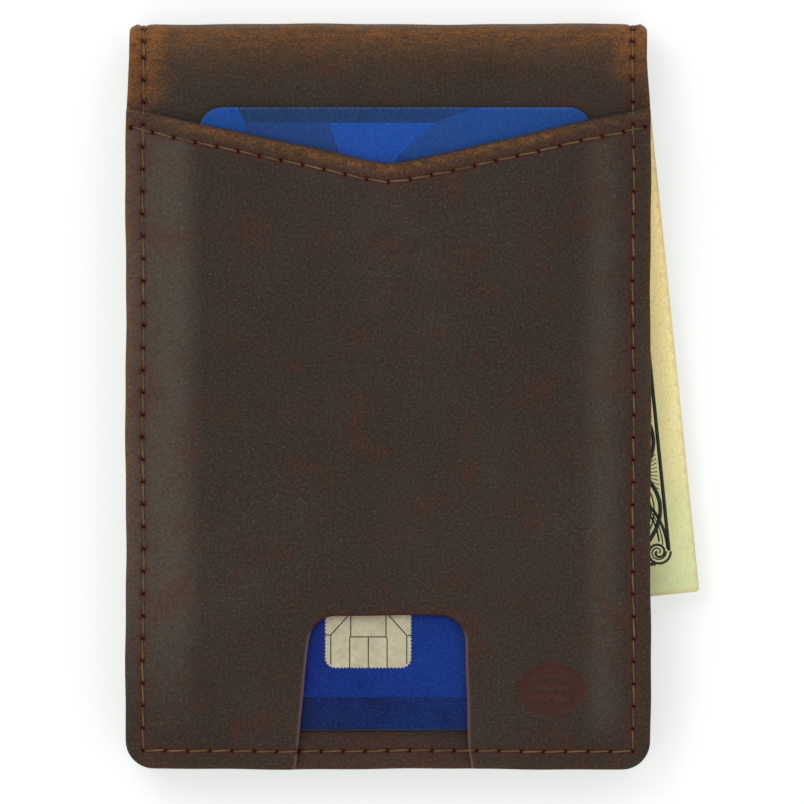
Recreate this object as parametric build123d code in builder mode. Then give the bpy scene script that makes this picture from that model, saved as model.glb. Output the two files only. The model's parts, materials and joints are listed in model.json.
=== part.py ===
from build123d import *
import os
from math import cos, degrees, radians, sin

# Slim bifold wallet, closed and lying on its back half.
#
# One leather shell runs from the back half, over a rounded fold, to the front half. The front half
# carries a quick-access card pocket with a V-cut mouth and a thumb notch. Inside are two card slots
# on the back half, an ID window on the front half, and a sprung metal clip that holds folded notes.
#
# Frame, in millimetres: +Z is up through the thickness, +Y runs towards the fold, +X to the right.
# The origin is in the middle of the back face, on the surface that the wallet lies on.
#
# The shell and its shield lining turn the fold as four stiff pieces: the two halves and two
# strips between them. The three hinge lines between those pieces lie on the leather's outer face.

# ---- Outline ----
WIDTH = 72.2  # across the halves
FOLD_WIDTH = 71.4  # across the shell where it turns the fold
TAPER_Y = 39.0  # where the sides begin to draw in towards the fold
FREE_EDGE_Y = -51.3  # the edge that opens
FOLD_TIP_Y = 51.3  # the outermost line of the fold
CORNER_RADIUS = 3.8

# ---- Thicknesses ----
SHELL = 1.3
POCKET_LEATHER = 1.2
PANEL = 0.9  # inner panels and slots
SHIELD = 0.3  # foil-backed shield lining
FILM = 0.2  # clear ID window
SLIP = 0.05  # air between two sheets that only rest on each other
NOTE_SPACE = 1.4  # between the halves, for notes and the clip's arm

# ---- Heights of the layers, from the surface up ----
BACK_SHIELD_Z = SHELL
BACK_PANEL_Z = BACK_SHIELD_Z + SHIELD
BACK_PANEL_TOP_Z = BACK_PANEL_Z + PANEL
DEEP_SLOT_Z = BACK_PANEL_TOP_Z + SLIP
SHALLOW_SLOT_Z = DEEP_SLOT_Z + PANEL + SLIP
BACK_TOP_Z = SHALLOW_SLOT_Z + PANEL
ID_FRAME_Z = BACK_TOP_Z + NOTE_SPACE
ID_FILM_Z = ID_FRAME_Z + PANEL
FRONT_PANEL_Z = ID_FILM_Z + FILM + 2 * SLIP
FRONT_SHIELD_Z = FRONT_PANEL_Z + PANEL
FRONT_SHELL_Z = FRONT_SHIELD_Z + SHIELD
FRONT_FACE_Z = FRONT_SHELL_Z + SHELL
POCKET_FACE_Z = FRONT_FACE_Z + POCKET_LEATHER

# ---- Fold ----
FOLD_RADIUS = FRONT_FACE_Z / 2  # outer face of the shell
FOLD_Y = FOLD_TIP_Y - FOLD_RADIUS
FOLD_Z = FOLD_RADIUS
FOLD_JOINTS = 3
FOLD_STEP = 180 / FOLD_JOINTS  # degrees of bend at each hinge line
FOLD_GAP = 0.5  # degrees left between neighbouring strips
STRIP_NAMES = ("lower", "upper")

# ---- Inner panels ----
PANEL_TOP_Y = 45.3
LINING_INSET = 0.2  # how far a lining or film stops short of the leather's edge
DEEP_SLOT_Y = 25.0  # slot mouths, at the sides
SHALLOW_SLOT_Y = 14.0
SLOT_DIP = 5.0  # how far a slot's mouth dips in the middle
ID_FRAME_Y = 38.0
ID_WINDOW = (45.0, 72.0)
ID_WINDOW_Y = -8.0
ID_WINDOW_RADIUS = 4.0
ID_THUMB_RADIUS = 9.0
ID_FILM_TOP_Y = 32.5

# ---- Quick-access pocket on the front ----
MOUTH_SIDE_Y = 39.9
MOUTH_DROP = 8.1  # from the sides to the unrounded point of the V
MOUTH_RADIUS = 12.0
NOTCH_X = -0.5
NOTCH_TOP_Y = -30.2
NOTCH_TOP_HALF = 10.4
NOTCH_BOTTOM_HALF = 12.2
NOTCH_RADIUS = 3.2
POCKET_RISE = 0.95  # how far the leather stands up over a card
RISE_FOOT = (-32.6, 33.0, -48.0)  # left, right and bottom of the slope round the card
RISE_TOP = (-26.6, 28.6, -46.5)
RISE_RADIUS = 3.0
BEYOND = 5.0  # how far a cutter runs past what it cuts

# ---- Stitching ----
SEAM_X = 33.7
SEAM_Y = -48.8
PITCH = 3.1
STITCH = (2.3, 0.5, 0.2)  # length, width and height
GROOVE_WIDTH = 0.9
GROOVE_DEPTH = 0.25
MOUTH_SEAM_OFFSET = 2.5
MOUTH_SEAM_X = 25.0
BED = 0.1  # room round a stitch that lies in its own bed

# ---- Payment card, in the standard card size ----
CARD = (53.98, 85.6, 0.76)
CARD_RADIUS = 3.18
CARD_X = 1.0
CARD_BOTTOM_Y = -45.9
CARD_Z = FRONT_FACE_Z + 2 * SLIP
CHIP = (11.9, 13.0, 0.3)
CHIP_CENTRE = (-2.75, -30.9)
CHIP_RADIUS = 1.4

# ---- Banknote, folded in half ----
NOTE_HALF = 73.0
NOTE_WIDTH = 66.3
NOTE_TILT = 5.8  # degrees, free end towards +X
NOTE_CORNER = (42.9, -26.9)  # its outermost corner
NOTE_PAPER = 0.12
NOTE_THICKNESS = 0.4
NOTE_Z = BACK_TOP_Z + SLIP

# ---- Note clip ----
PIN_Y = 46.9
PIN_Z = 4.3
PIN_RADIUS = 0.7
PIN_CLEARANCE = 0.05
PIN_HEAD = (1.05, 0.5)  # radius and thickness
KNUCKLE_RADIUS = 1.3
CLIP_STEEL = 0.6
CLIP_HALF = 28.0
LEAF_EDGE_Y = 45.2  # where both leaves stop short of the knuckles
BASE_LEAF_Y = 35.0
BASE_KNUCKLES = ((-28.0, -22.0), (-5.0, 5.0), (22.0, 28.0))
ARM_KNUCKLES = ((-21.9, -16.0), (16.0, 21.9))
ARM_HALF = 27.0
ARM_END_Y = 20.0
ARM_WINDOW = (40.0, 14.0)
ARM_WINDOW_Y = 33.0
ARM_RADIUS = 4.0
ARM_WINDOW_RADIUS = 2.5
PATCH = (62.0, 11.8, 0.5)
PATCH_Y = 39.4
RIVET_X = 12.0
RIVET_Y = 39.0
RIVET_SHANK = 1.0
RIVET_HEAD = (1.8, 0.5)
RIVET_FOOT = (2.0, 0.3)
RIVET_CLEARANCE = 0.03
SPRING_WIRE = 0.2  # wire radius
SPRING_RADIUS = 1.0
SPRING_STARTS = (-15.2, 8.7)
SPRING_LENGTH = 6.5
SPRING_PITCH = 0.65
SPRING_LEG = 2.3
SPRING_LEG_TILT = 19.5  # degrees, so that each leg bears on its leaf's inner face

os.makedirs("parts", exist_ok=True)


def save(sub_part, name):
    """Labels a finished sub-part and writes its STEP file."""
    sub_part.part.label = name
    export_step(sub_part.part, f"parts/{name}.step")


def half_width(y):
    """Half the wallet's width at y: the sides draw in a little towards the fold."""
    drawn_in = max(0.0, y - TAPER_Y) / (FOLD_Y - TAPER_Y)
    return (WIDTH - (WIDTH - FOLD_WIDTH) * drawn_in) / 2


def sheet(z, thickness, top_y, inset=0.0):
    """Adds a flat sheet with a half's outline: square towards the fold, rounded at the free edge."""
    right = [(WIDTH / 2 - inset, FREE_EDGE_Y + inset)]
    if top_y > TAPER_Y:
        right.append((WIDTH / 2 - inset, TAPER_Y))
    right.append((half_width(top_y) - inset, top_y))
    left = [(-x, y) for x, y in reversed(right)]
    with BuildSketch(Plane.XY.offset(z)) as outline:
        Polygon(*right, *left, align=None)
        fillet(vertices().group_by(Axis.Y)[0], CORNER_RADIUS - inset)
    extrude(outline.sketch, amount=thickness)


def cut_seam(face_z, top_y, into):
    """Cuts the stitch groove into a face at face_z: into is -1 for an upper face, 1 for a lower one."""
    length = top_y - SEAM_Y
    with BuildSketch(Plane.XY.offset(face_z)) as groove:
        with Locations((-SEAM_X, SEAM_Y + length / 2), (SEAM_X, SEAM_Y + length / 2)):
            Rectangle(GROOVE_WIDTH, length)
        with Locations((0, SEAM_Y)):
            Rectangle(2 * SEAM_X + GROOVE_WIDTH, GROOVE_WIDTH)
    extrude(groove.sketch, amount=into * GROOVE_DEPTH, mode=Mode.SUBTRACT)


def mouth_y(x, side_y=MOUTH_SIDE_Y, drop=MOUTH_DROP):
    """Height of a V-cut mouth's straight edge at x."""
    return side_y - drop * (1 - abs(x) / (WIDTH / 2))


def cut_mouth(z, side_y, drop):
    """Cuts a V-shaped mouth with a rounded point through the part that starts at z."""
    half = WIDTH / 2 + BEYOND
    slope = drop / (WIDTH / 2)
    top_y = FOLD_TIP_Y + BEYOND
    outer_y = side_y + slope * BEYOND
    with BuildSketch(Plane.XY.offset(z - BEYOND)) as opening:
        Polygon(
            (-half, outer_y), (0, side_y - drop), (half, outer_y), (half, top_y), (-half, top_y), align=None
        )
        fillet(vertices().sort_by(Axis.Y)[0], MOUTH_RADIUS)
    extrude(opening.sketch, amount=2 * BEYOND, mode=Mode.SUBTRACT)


def arc_band(inner, outer, start, end):
    """Draws, on the YZ plane, a band of the fold between two angles, counted from straight down."""
    centre = (FOLD_Y, FOLD_Z)
    with BuildLine() as band:
        outside = CenterArc(centre, outer, start - 90, end - start)
        inside = CenterArc(centre, inner, start - 90, end - start)
        Line(outside @ 0, inside @ 0)
        Line(outside @ 1, inside @ 1)
    make_face(band.edges())


def joint_angle(number):
    """Angle round the fold of hinge line 1 to 3."""
    return (number - 0.5) * FOLD_STEP


def spaced(start, end):
    """Middles of the stitches that fill a run, evenly spaced and about a pitch apart."""
    count = max(1, round(abs(end - start) / PITCH))
    step = (end - start) / count
    return [start + (i + 0.5) * step for i in range(count)]


def lay_stitches(spots, z, turned=0.0):
    """Adds one flat stitch at each spot, standing on z, turned by that many degrees."""
    with Locations(*[Location((x, y, z), (0, 0, turned)) for x, y in spots]):
        Box(*STITCH, align=(Align.CENTER, Align.CENTER, Align.MIN))


def side_spots(bottom_y, top_y):
    """Stitch spots up both side seams."""
    return [(x, y) for x in (-SEAM_X, SEAM_X) for y in spaced(bottom_y, top_y)]


def bottom_spots(left_x, right_x):
    """Stitch spots along the free edge's seam."""
    return [(x, SEAM_Y) for x in spaced(left_x, right_x)]


# ---- Outer shell: back half, two strips round the fold, front half ----
FIRST_BAND = (0, joint_angle(1) - FOLD_GAP / 2)
LAST_BAND = (joint_angle(FOLD_JOINTS) + FOLD_GAP / 2, 180)


def shell_half(low_z, band):
    """Adds a half of the shell with its share of the fold."""
    sheet(low_z, SHELL, FOLD_Y)
    with BuildSketch(Plane.YZ) as share:
        arc_band(FOLD_RADIUS - SHELL, FOLD_RADIUS, *band)
    extrude(share.sketch, amount=FOLD_WIDTH / 2, both=True)


def cut_fold_seam(band):
    """Cuts the stitch groove into the outer face of the fold."""
    for x in (-SEAM_X, SEAM_X):
        with BuildSketch(Plane.YZ.offset(x - GROOVE_WIDTH / 2)) as groove:
            arc_band(FOLD_RADIUS - GROOVE_DEPTH, FOLD_RADIUS + GROOVE_DEPTH, *band)
        extrude(groove.sketch, amount=GROOVE_WIDTH, mode=Mode.SUBTRACT)


with BuildPart() as shell_back:
    shell_half(0, FIRST_BAND)
    cut_seam(0, FOLD_Y, 1)
    cut_fold_seam(FIRST_BAND)
save(shell_back, "shell_back")

with BuildPart() as shell_front:
    shell_half(FRONT_SHELL_Z, LAST_BAND)
    cut_seam(FRONT_FACE_Z, FOLD_Y, -1)
    cut_fold_seam(LAST_BAND)
save(shell_front, "shell_front")


def strip_band(number):
    """Angles that strip 0 or 1 covers between its two hinge lines."""
    return joint_angle(number + 1) + FOLD_GAP / 2, joint_angle(number + 2) - FOLD_GAP / 2


for number, place in enumerate(STRIP_NAMES):
    with BuildPart() as shell_strip:
        with BuildSketch(Plane.YZ):
            arc_band(FOLD_RADIUS - SHELL, FOLD_RADIUS, *strip_band(number))
        extrude(amount=FOLD_WIDTH / 2, both=True)
        cut_fold_seam(strip_band(number))
    save(shell_strip, f"shell_fold_{place}")

    with BuildPart() as shield_strip:
        with BuildSketch(Plane.YZ):
            arc_band(FOLD_RADIUS - SHELL - SHIELD, FOLD_RADIUS - SHELL, *strip_band(number))
        extrude(amount=FOLD_WIDTH / 2 - LINING_INSET, both=True)
    save(shield_strip, f"shield_fold_{place}")

    # One stitch a side lies in the groove, in the middle of each strip.
    middle_angle = (number + 1) * FOLD_STEP
    reach = degrees(STITCH[0] / 2 / FOLD_RADIUS)
    with BuildPart() as strip_stitches:
        for x in (-SEAM_X, SEAM_X):
            with BuildSketch(Plane.YZ.offset(x - STITCH[1] / 2)):
                floor = FOLD_RADIUS - GROOVE_DEPTH
                arc_band(floor, floor + STITCH[2], middle_angle - reach, middle_angle + reach)
            extrude(amount=STITCH[1])
    save(strip_stitches, f"stitching_fold_{place}")

# ---- Shield lining, between the shell and the inner panels ----
with BuildPart() as shield_back:
    sheet(BACK_SHIELD_Z, SHIELD, FOLD_Y, LINING_INSET)
    with BuildSketch(Plane.YZ):
        arc_band(FOLD_RADIUS - SHELL - SHIELD, FOLD_RADIUS - SHELL, *FIRST_BAND)
    extrude(amount=FOLD_WIDTH / 2 - LINING_INSET, both=True)
save(shield_back, "shield_back")

with BuildPart() as shield_front:
    sheet(FRONT_SHIELD_Z, SHIELD, FOLD_Y, LINING_INSET)
    with BuildSketch(Plane.YZ):
        arc_band(FOLD_RADIUS - SHELL - SHIELD, FOLD_RADIUS - SHELL, *LAST_BAND)
    extrude(amount=FOLD_WIDTH / 2 - LINING_INSET, both=True)
save(shield_front, "shield_front")

# ---- Back half, inside: lining panel and two card slots, mouths towards the fold ----
RIVET_SPOTS = [(-RIVET_X, RIVET_Y), (RIVET_X, RIVET_Y)]
with BuildPart() as back_inner_panel:
    sheet(BACK_PANEL_Z, PANEL, PANEL_TOP_Y)
    cut_seam(BACK_PANEL_TOP_Z, PANEL_TOP_Y, -1)
    with Locations(*[(x, y, BACK_PANEL_Z) for x, y in RIVET_SPOTS]):
        Cylinder(RIVET_SHANK + RIVET_CLEARANCE, 2 * PANEL, mode=Mode.SUBTRACT)
        Cylinder(RIVET_FOOT[0] + RIVET_CLEARANCE, 2 * (RIVET_FOOT[1] + RIVET_CLEARANCE), mode=Mode.SUBTRACT)
save(back_inner_panel, "back_inner_panel")

with BuildPart() as deep_card_slot:
    sheet(DEEP_SLOT_Z, PANEL, DEEP_SLOT_Y)
    cut_mouth(DEEP_SLOT_Z, DEEP_SLOT_Y, SLOT_DIP)
    cut_seam(DEEP_SLOT_Z + PANEL, DEEP_SLOT_Y, -1)
save(deep_card_slot, "deep_card_slot")

with BuildPart() as shallow_card_slot:
    sheet(SHALLOW_SLOT_Z, PANEL, SHALLOW_SLOT_Y)
    cut_mouth(SHALLOW_SLOT_Z, SHALLOW_SLOT_Y, SLOT_DIP)
    cut_seam(BACK_TOP_Z, SHALLOW_SLOT_Y, -1)
save(shallow_card_slot, "shallow_card_slot")

# ---- Front half, inside: lining panel, ID window frame and its clear film ----
with BuildPart() as front_inner_panel:
    sheet(FRONT_PANEL_Z, PANEL, PANEL_TOP_Y)
    cut_seam(FRONT_PANEL_Z, PANEL_TOP_Y, 1)
save(front_inner_panel, "front_inner_panel")

with BuildPart() as id_window_frame:
    sheet(ID_FRAME_Z, PANEL, ID_FRAME_Y)
    with BuildSketch(Plane.XY.offset(ID_FRAME_Z)):
        with Locations((0, ID_WINDOW_Y)):
            RectangleRounded(*ID_WINDOW, ID_WINDOW_RADIUS)
        with Locations((0, ID_FRAME_Y + ID_THUMB_RADIUS / 2)):
            Circle(ID_THUMB_RADIUS)
    extrude(amount=PANEL, mode=Mode.SUBTRACT)
    cut_seam(ID_FRAME_Z, ID_FRAME_Y, 1)
save(id_window_frame, "id_window_frame")

with BuildPart() as id_window_film:
    sheet(ID_FILM_Z, FILM, ID_FILM_TOP_Y, LINING_INSET)
save(id_window_film, "id_window_film")


# ---- Quick-access pocket on the front, raised over the card it holds ----
def rise(limits, z):
    """Draws one end of the slope round the card, open towards the fold."""
    left, right, bottom = limits
    with BuildSketch(Plane.XY.offset(z)) as section:
        with Locations(((left + right) / 2, (bottom + FOLD_TIP_Y) / 2)):
            Rectangle(right - left, FOLD_TIP_Y - bottom)
        fillet(vertices().group_by(Axis.Y)[0], RISE_RADIUS)
    return section.sketch


def mouth_spots():
    """Stitch spots below the V-cut mouth, with the angle of each."""
    slope = MOUTH_DROP / (WIDTH / 2)
    down = MOUTH_SEAM_OFFSET * (1 + slope**2) ** 0.5
    angle = Vector(1, slope).get_angle(Vector(1, 0))
    spots = []
    for x in spaced(-MOUTH_SEAM_X, MOUTH_SEAM_X):
        spots.append((x, mouth_y(x) - down, angle if x > 0 else -angle))
    return spots


POCKET_TOP_Z = POCKET_FACE_Z + POCKET_RISE
MOUTH_LOCATIONS = [
    Location((x, y, POCKET_TOP_Z - GROOVE_DEPTH), (0, 0, angle)) for x, y, angle in mouth_spots()
]
with BuildPart() as front_pocket:
    sheet(FRONT_FACE_Z, POCKET_LEATHER, FOLD_Y)
    loft([rise(RISE_FOOT, POCKET_FACE_Z), rise(RISE_TOP, POCKET_TOP_Z)])
    loft([rise(RISE_FOOT, FRONT_FACE_Z), rise(RISE_TOP, FRONT_FACE_Z + POCKET_RISE)], mode=Mode.SUBTRACT)
    cut_mouth(POCKET_FACE_Z, MOUTH_SIDE_Y, MOUTH_DROP)
    with BuildSketch(Plane.XY.offset(FRONT_FACE_Z)):
        with BuildLine():
            Polyline(
                (NOTCH_X - NOTCH_BOTTOM_HALF, FREE_EDGE_Y),
                (NOTCH_X - NOTCH_TOP_HALF, NOTCH_TOP_Y),
                (NOTCH_X + NOTCH_TOP_HALF, NOTCH_TOP_Y),
                (NOTCH_X + NOTCH_BOTTOM_HALF, FREE_EDGE_Y),
                close=True,
            )
        make_face()
        fillet(vertices().group_by(Axis.Y)[-1], NOTCH_RADIUS)
    extrude(amount=BEYOND, mode=Mode.SUBTRACT)
    cut_seam(POCKET_FACE_Z, MOUTH_SIDE_Y, -1)
    with Locations(*MOUTH_LOCATIONS):
        Box(
            STITCH[0] + BED,
            STITCH[1] + BED,
            BEYOND,
            align=(Align.CENTER, Align.CENTER, Align.MIN),
            mode=Mode.SUBTRACT,
        )
save(front_pocket, "front_pocket")

# ---- Stitching, one node for each seam face ----
BEHIND_NOTCH = (NOTCH_X - NOTCH_BOTTOM_HALF, NOTCH_X + NOTCH_BOTTOM_HALF)
with BuildPart() as stitching_front_face:
    pocket_floor = POCKET_FACE_Z - GROOVE_DEPTH
    shell_floor = FRONT_FACE_Z - GROOVE_DEPTH
    lay_stitches(side_spots(SEAM_Y, MOUTH_SIDE_Y), pocket_floor, 90)
    lay_stitches(bottom_spots(-SEAM_X + STITCH[1], BEHIND_NOTCH[0]), pocket_floor)
    lay_stitches(bottom_spots(BEHIND_NOTCH[1], SEAM_X - STITCH[1]), pocket_floor)
    lay_stitches(bottom_spots(*BEHIND_NOTCH), shell_floor)
    lay_stitches(side_spots(MOUTH_SIDE_Y, FOLD_Y), shell_floor, 90)
save(stitching_front_face, "stitching_front_face")

with BuildPart() as stitching_pocket_mouth:
    with Locations(*MOUTH_LOCATIONS):
        Box(*STITCH, align=(Align.CENTER, Align.CENTER, Align.MIN))
save(stitching_pocket_mouth, "stitching_pocket_mouth")

with BuildPart() as stitching_back_face:
    stitch_z = GROOVE_DEPTH - STITCH[2]
    lay_stitches(side_spots(SEAM_Y, FOLD_Y), stitch_z, 90)
    lay_stitches(bottom_spots(-SEAM_X + STITCH[1], SEAM_X - STITCH[1]), stitch_z)
save(stitching_back_face, "stitching_back_face")

with BuildPart() as stitching_card_slots:
    lay_stitches(side_spots(SEAM_Y, SHALLOW_SLOT_Y), BACK_TOP_Z - GROOVE_DEPTH, 90)
    lay_stitches(bottom_spots(-SEAM_X + STITCH[1], SEAM_X - STITCH[1]), BACK_TOP_Z - GROOVE_DEPTH)
    lay_stitches(side_spots(SHALLOW_SLOT_Y, DEEP_SLOT_Y), DEEP_SLOT_Z + PANEL - GROOVE_DEPTH, 90)
    lay_stitches(side_spots(DEEP_SLOT_Y, PANEL_TOP_Y), BACK_PANEL_TOP_Z - GROOVE_DEPTH, 90)
save(stitching_card_slots, "stitching_card_slots")

with BuildPart() as stitching_id_window:
    frame_z = ID_FRAME_Z + GROOVE_DEPTH - STITCH[2]
    lay_stitches(side_spots(SEAM_Y, ID_FRAME_Y), frame_z, 90)
    lay_stitches(bottom_spots(-SEAM_X + STITCH[1], SEAM_X - STITCH[1]), frame_z)
    lay_stitches(side_spots(ID_FRAME_Y, PANEL_TOP_Y), FRONT_PANEL_Z + GROOVE_DEPTH - STITCH[2], 90)
save(stitching_id_window, "stitching_id_window")

# ---- Note clip: leather patch, base leaf, hinge pin, springs, arm and two rivets ----
BASE_LEAF_Z = BACK_PANEL_TOP_Z + PATCH[2]
ARM_LEAF_Z = PIN_Z + KNUCKLE_RADIUS - CLIP_STEEL


def knuckles(spans, leaf_z):
    """Adds rolled knuckles round the pin, each with its tab down to the leaf, bored for the pin."""
    for start, end in spans:
        with BuildSketch(Plane.YZ.offset(start)) as knuckle:
            with Locations((PIN_Y, PIN_Z)):
                Circle(KNUCKLE_RADIUS)
            with Locations(((LEAF_EDGE_Y + PIN_Y) / 2, leaf_z + CLIP_STEEL / 2)):
                Rectangle(PIN_Y - LEAF_EDGE_Y, CLIP_STEEL)
            with Locations((PIN_Y, PIN_Z)):
                Circle(PIN_RADIUS + PIN_CLEARANCE, mode=Mode.SUBTRACT)
        extrude(knuckle.sketch, amount=end - start)


with BuildPart() as clip_patch:
    with BuildSketch(Plane.XY.offset(BACK_PANEL_TOP_Z)):
        with Locations((0, PATCH_Y)):
            RectangleRounded(PATCH[0], PATCH[1], CORNER_RADIUS / 2)
        with Locations(*RIVET_SPOTS):
            Circle(RIVET_SHANK + RIVET_CLEARANCE, mode=Mode.SUBTRACT)
    extrude(amount=PATCH[2])
save(clip_patch, "clip_patch")

with BuildPart() as clip_base:
    with BuildSketch(Plane.XY.offset(BASE_LEAF_Z)):
        with Locations((0, (BASE_LEAF_Y + LEAF_EDGE_Y) / 2)):
            Rectangle(2 * CLIP_HALF, LEAF_EDGE_Y - BASE_LEAF_Y)
        fillet(vertices().group_by(Axis.Y)[0], CORNER_RADIUS / 2)
        with Locations(*RIVET_SPOTS):
            Circle(RIVET_SHANK + RIVET_CLEARANCE, mode=Mode.SUBTRACT)
    extrude(amount=CLIP_STEEL)
    knuckles(BASE_KNUCKLES, BASE_LEAF_Z)
save(clip_base, "clip_base")

with BuildPart() as clip_arm:
    with BuildSketch(Plane.XY.offset(ARM_LEAF_Z)):
        with Locations((0, (ARM_END_Y + LEAF_EDGE_Y) / 2)):
            Rectangle(2 * ARM_HALF, LEAF_EDGE_Y - ARM_END_Y)
        fillet(vertices().group_by(Axis.Y)[0], ARM_RADIUS)
        with Locations((0, ARM_WINDOW_Y)):
            RectangleRounded(*ARM_WINDOW, ARM_WINDOW_RADIUS, mode=Mode.SUBTRACT)
    extrude(amount=CLIP_STEEL)
    knuckles(ARM_KNUCKLES, ARM_LEAF_Z)
save(clip_arm, "clip_arm")

with BuildPart() as clip_pin:
    with BuildSketch(Plane.YZ.offset(-CLIP_HALF - SLIP)):
        with Locations((PIN_Y, PIN_Z)):
            Circle(PIN_RADIUS)
    extrude(amount=2 * (CLIP_HALF + SLIP))
    for x in (-CLIP_HALF - SLIP - PIN_HEAD[1], CLIP_HALF + SLIP):
        with BuildSketch(Plane.YZ.offset(x)):
            with Locations((PIN_Y, PIN_Z)):
                Circle(PIN_HEAD[0])
        extrude(amount=PIN_HEAD[1])
save(clip_pin, "clip_pin")

with BuildPart() as clip_springs:
    for start in SPRING_STARTS:
        with BuildLine():
            coil = Helix(SPRING_PITCH, SPRING_LENGTH, SPRING_RADIUS, (start, PIN_Y, PIN_Z), (1, 0, 0))
        with BuildSketch(Plane(coil @ 0, z_dir=coil % 0)):
            Circle(SPRING_WIRE)
        sweep(path=coil, is_frenet=True)
        # A straight leg leaves each end of the coil, one over the base leaf and one under the arm.
        lean, fall = cos(radians(SPRING_LEG_TILT)), sin(radians(SPRING_LEG_TILT))
        for x, side in ((start, -1), (start + SPRING_LENGTH, 1)):
            root = (x, PIN_Y - SPRING_RADIUS * fall, PIN_Z + side * SPRING_RADIUS * lean)
            with BuildSketch(Plane(root, z_dir=(0, -lean, -side * fall))):
                Circle(SPRING_WIRE)
            extrude(amount=SPRING_LEG)
save(clip_springs, "clip_springs")

with BuildPart() as clip_rivets:
    for x, y in RIVET_SPOTS:
        with Locations((x, y, BACK_PANEL_Z)):
            Cylinder(*RIVET_FOOT, align=(Align.CENTER, Align.CENTER, Align.MIN))
            Cylinder(
                RIVET_SHANK,
                BASE_LEAF_Z + CLIP_STEEL - BACK_PANEL_Z,
                align=(Align.CENTER, Align.CENTER, Align.MIN),
            )
        with Locations((x, y, BASE_LEAF_Z + CLIP_STEEL)):
            Cylinder(*RIVET_HEAD, align=(Align.CENTER, Align.CENTER, Align.MIN))
    fillet(faces().filter_by(Plane.XY).group_by(Axis.Z)[-1].edges(), RIVET_HEAD[1] * 0.8)
save(clip_rivets, "clip_rivets")

# ---- Payment card and its contact chip ----
with BuildPart() as payment_card:
    with BuildSketch(Plane.XY.offset(CARD_Z)):
        with Locations((CARD_X, CARD_BOTTOM_Y + CARD[1] / 2)):
            RectangleRounded(CARD[0], CARD[1], CARD_RADIUS)
    extrude(amount=CARD[2])
    with BuildSketch(Plane.XY.offset(CARD_Z + CARD[2] - CHIP[2])):
        with Locations(CHIP_CENTRE):
            RectangleRounded(CHIP[0], CHIP[1], CHIP_RADIUS)
    extrude(amount=CHIP[2], mode=Mode.SUBTRACT)
save(payment_card, "payment_card")

with BuildPart() as card_chip:
    with BuildSketch(Plane.XY.offset(CARD_Z + CARD[2] - CHIP[2])):
        with Locations(CHIP_CENTRE):
            RectangleRounded(CHIP[0], CHIP[1], CHIP_RADIUS)
    extrude(amount=CHIP[2])
save(card_chip, "card_chip")

# ---- Banknote, folded in half, free end tilted out to the right ----
ALONG = Vector(sin(radians(NOTE_TILT)), -cos(radians(NOTE_TILT)), 0)  # crease to free end
ACROSS = Vector(cos(radians(NOTE_TILT)), sin(radians(NOTE_TILT)), 0)
CREASE_END = Vector(*NOTE_CORNER, NOTE_Z + NOTE_THICKNESS / 2) - ALONG * NOTE_HALF
NOTE_PLANE = Plane(origin=CREASE_END, x_dir=ALONG, z_dir=-ACROSS)


def folded_edge(half_thickness):
    """Draws a long U on its side: flat leaves with a round crease at the origin's end."""
    with BuildLine() as outline:
        crease = CenterArc((NOTE_THICKNESS / 2, 0), half_thickness, 90, 180)
        lower = Line(crease @ 1, (NOTE_HALF, -half_thickness))
        upper = Line(crease @ 0, (NOTE_HALF, half_thickness))
        Line(upper @ 1, lower @ 1)
    return outline.edges()


with BuildPart() as banknote:
    with BuildSketch(NOTE_PLANE):
        make_face(folded_edge(NOTE_THICKNESS / 2))
        make_face(folded_edge(NOTE_THICKNESS / 2 - NOTE_PAPER), mode=Mode.SUBTRACT)
    extrude(amount=NOTE_WIDTH)
save(banknote, "banknote")
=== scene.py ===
import json
import math

import bpy
import numpy as np
from mathutils import Vector
from mathutils.geometry import delaunay_2d_cdt

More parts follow.
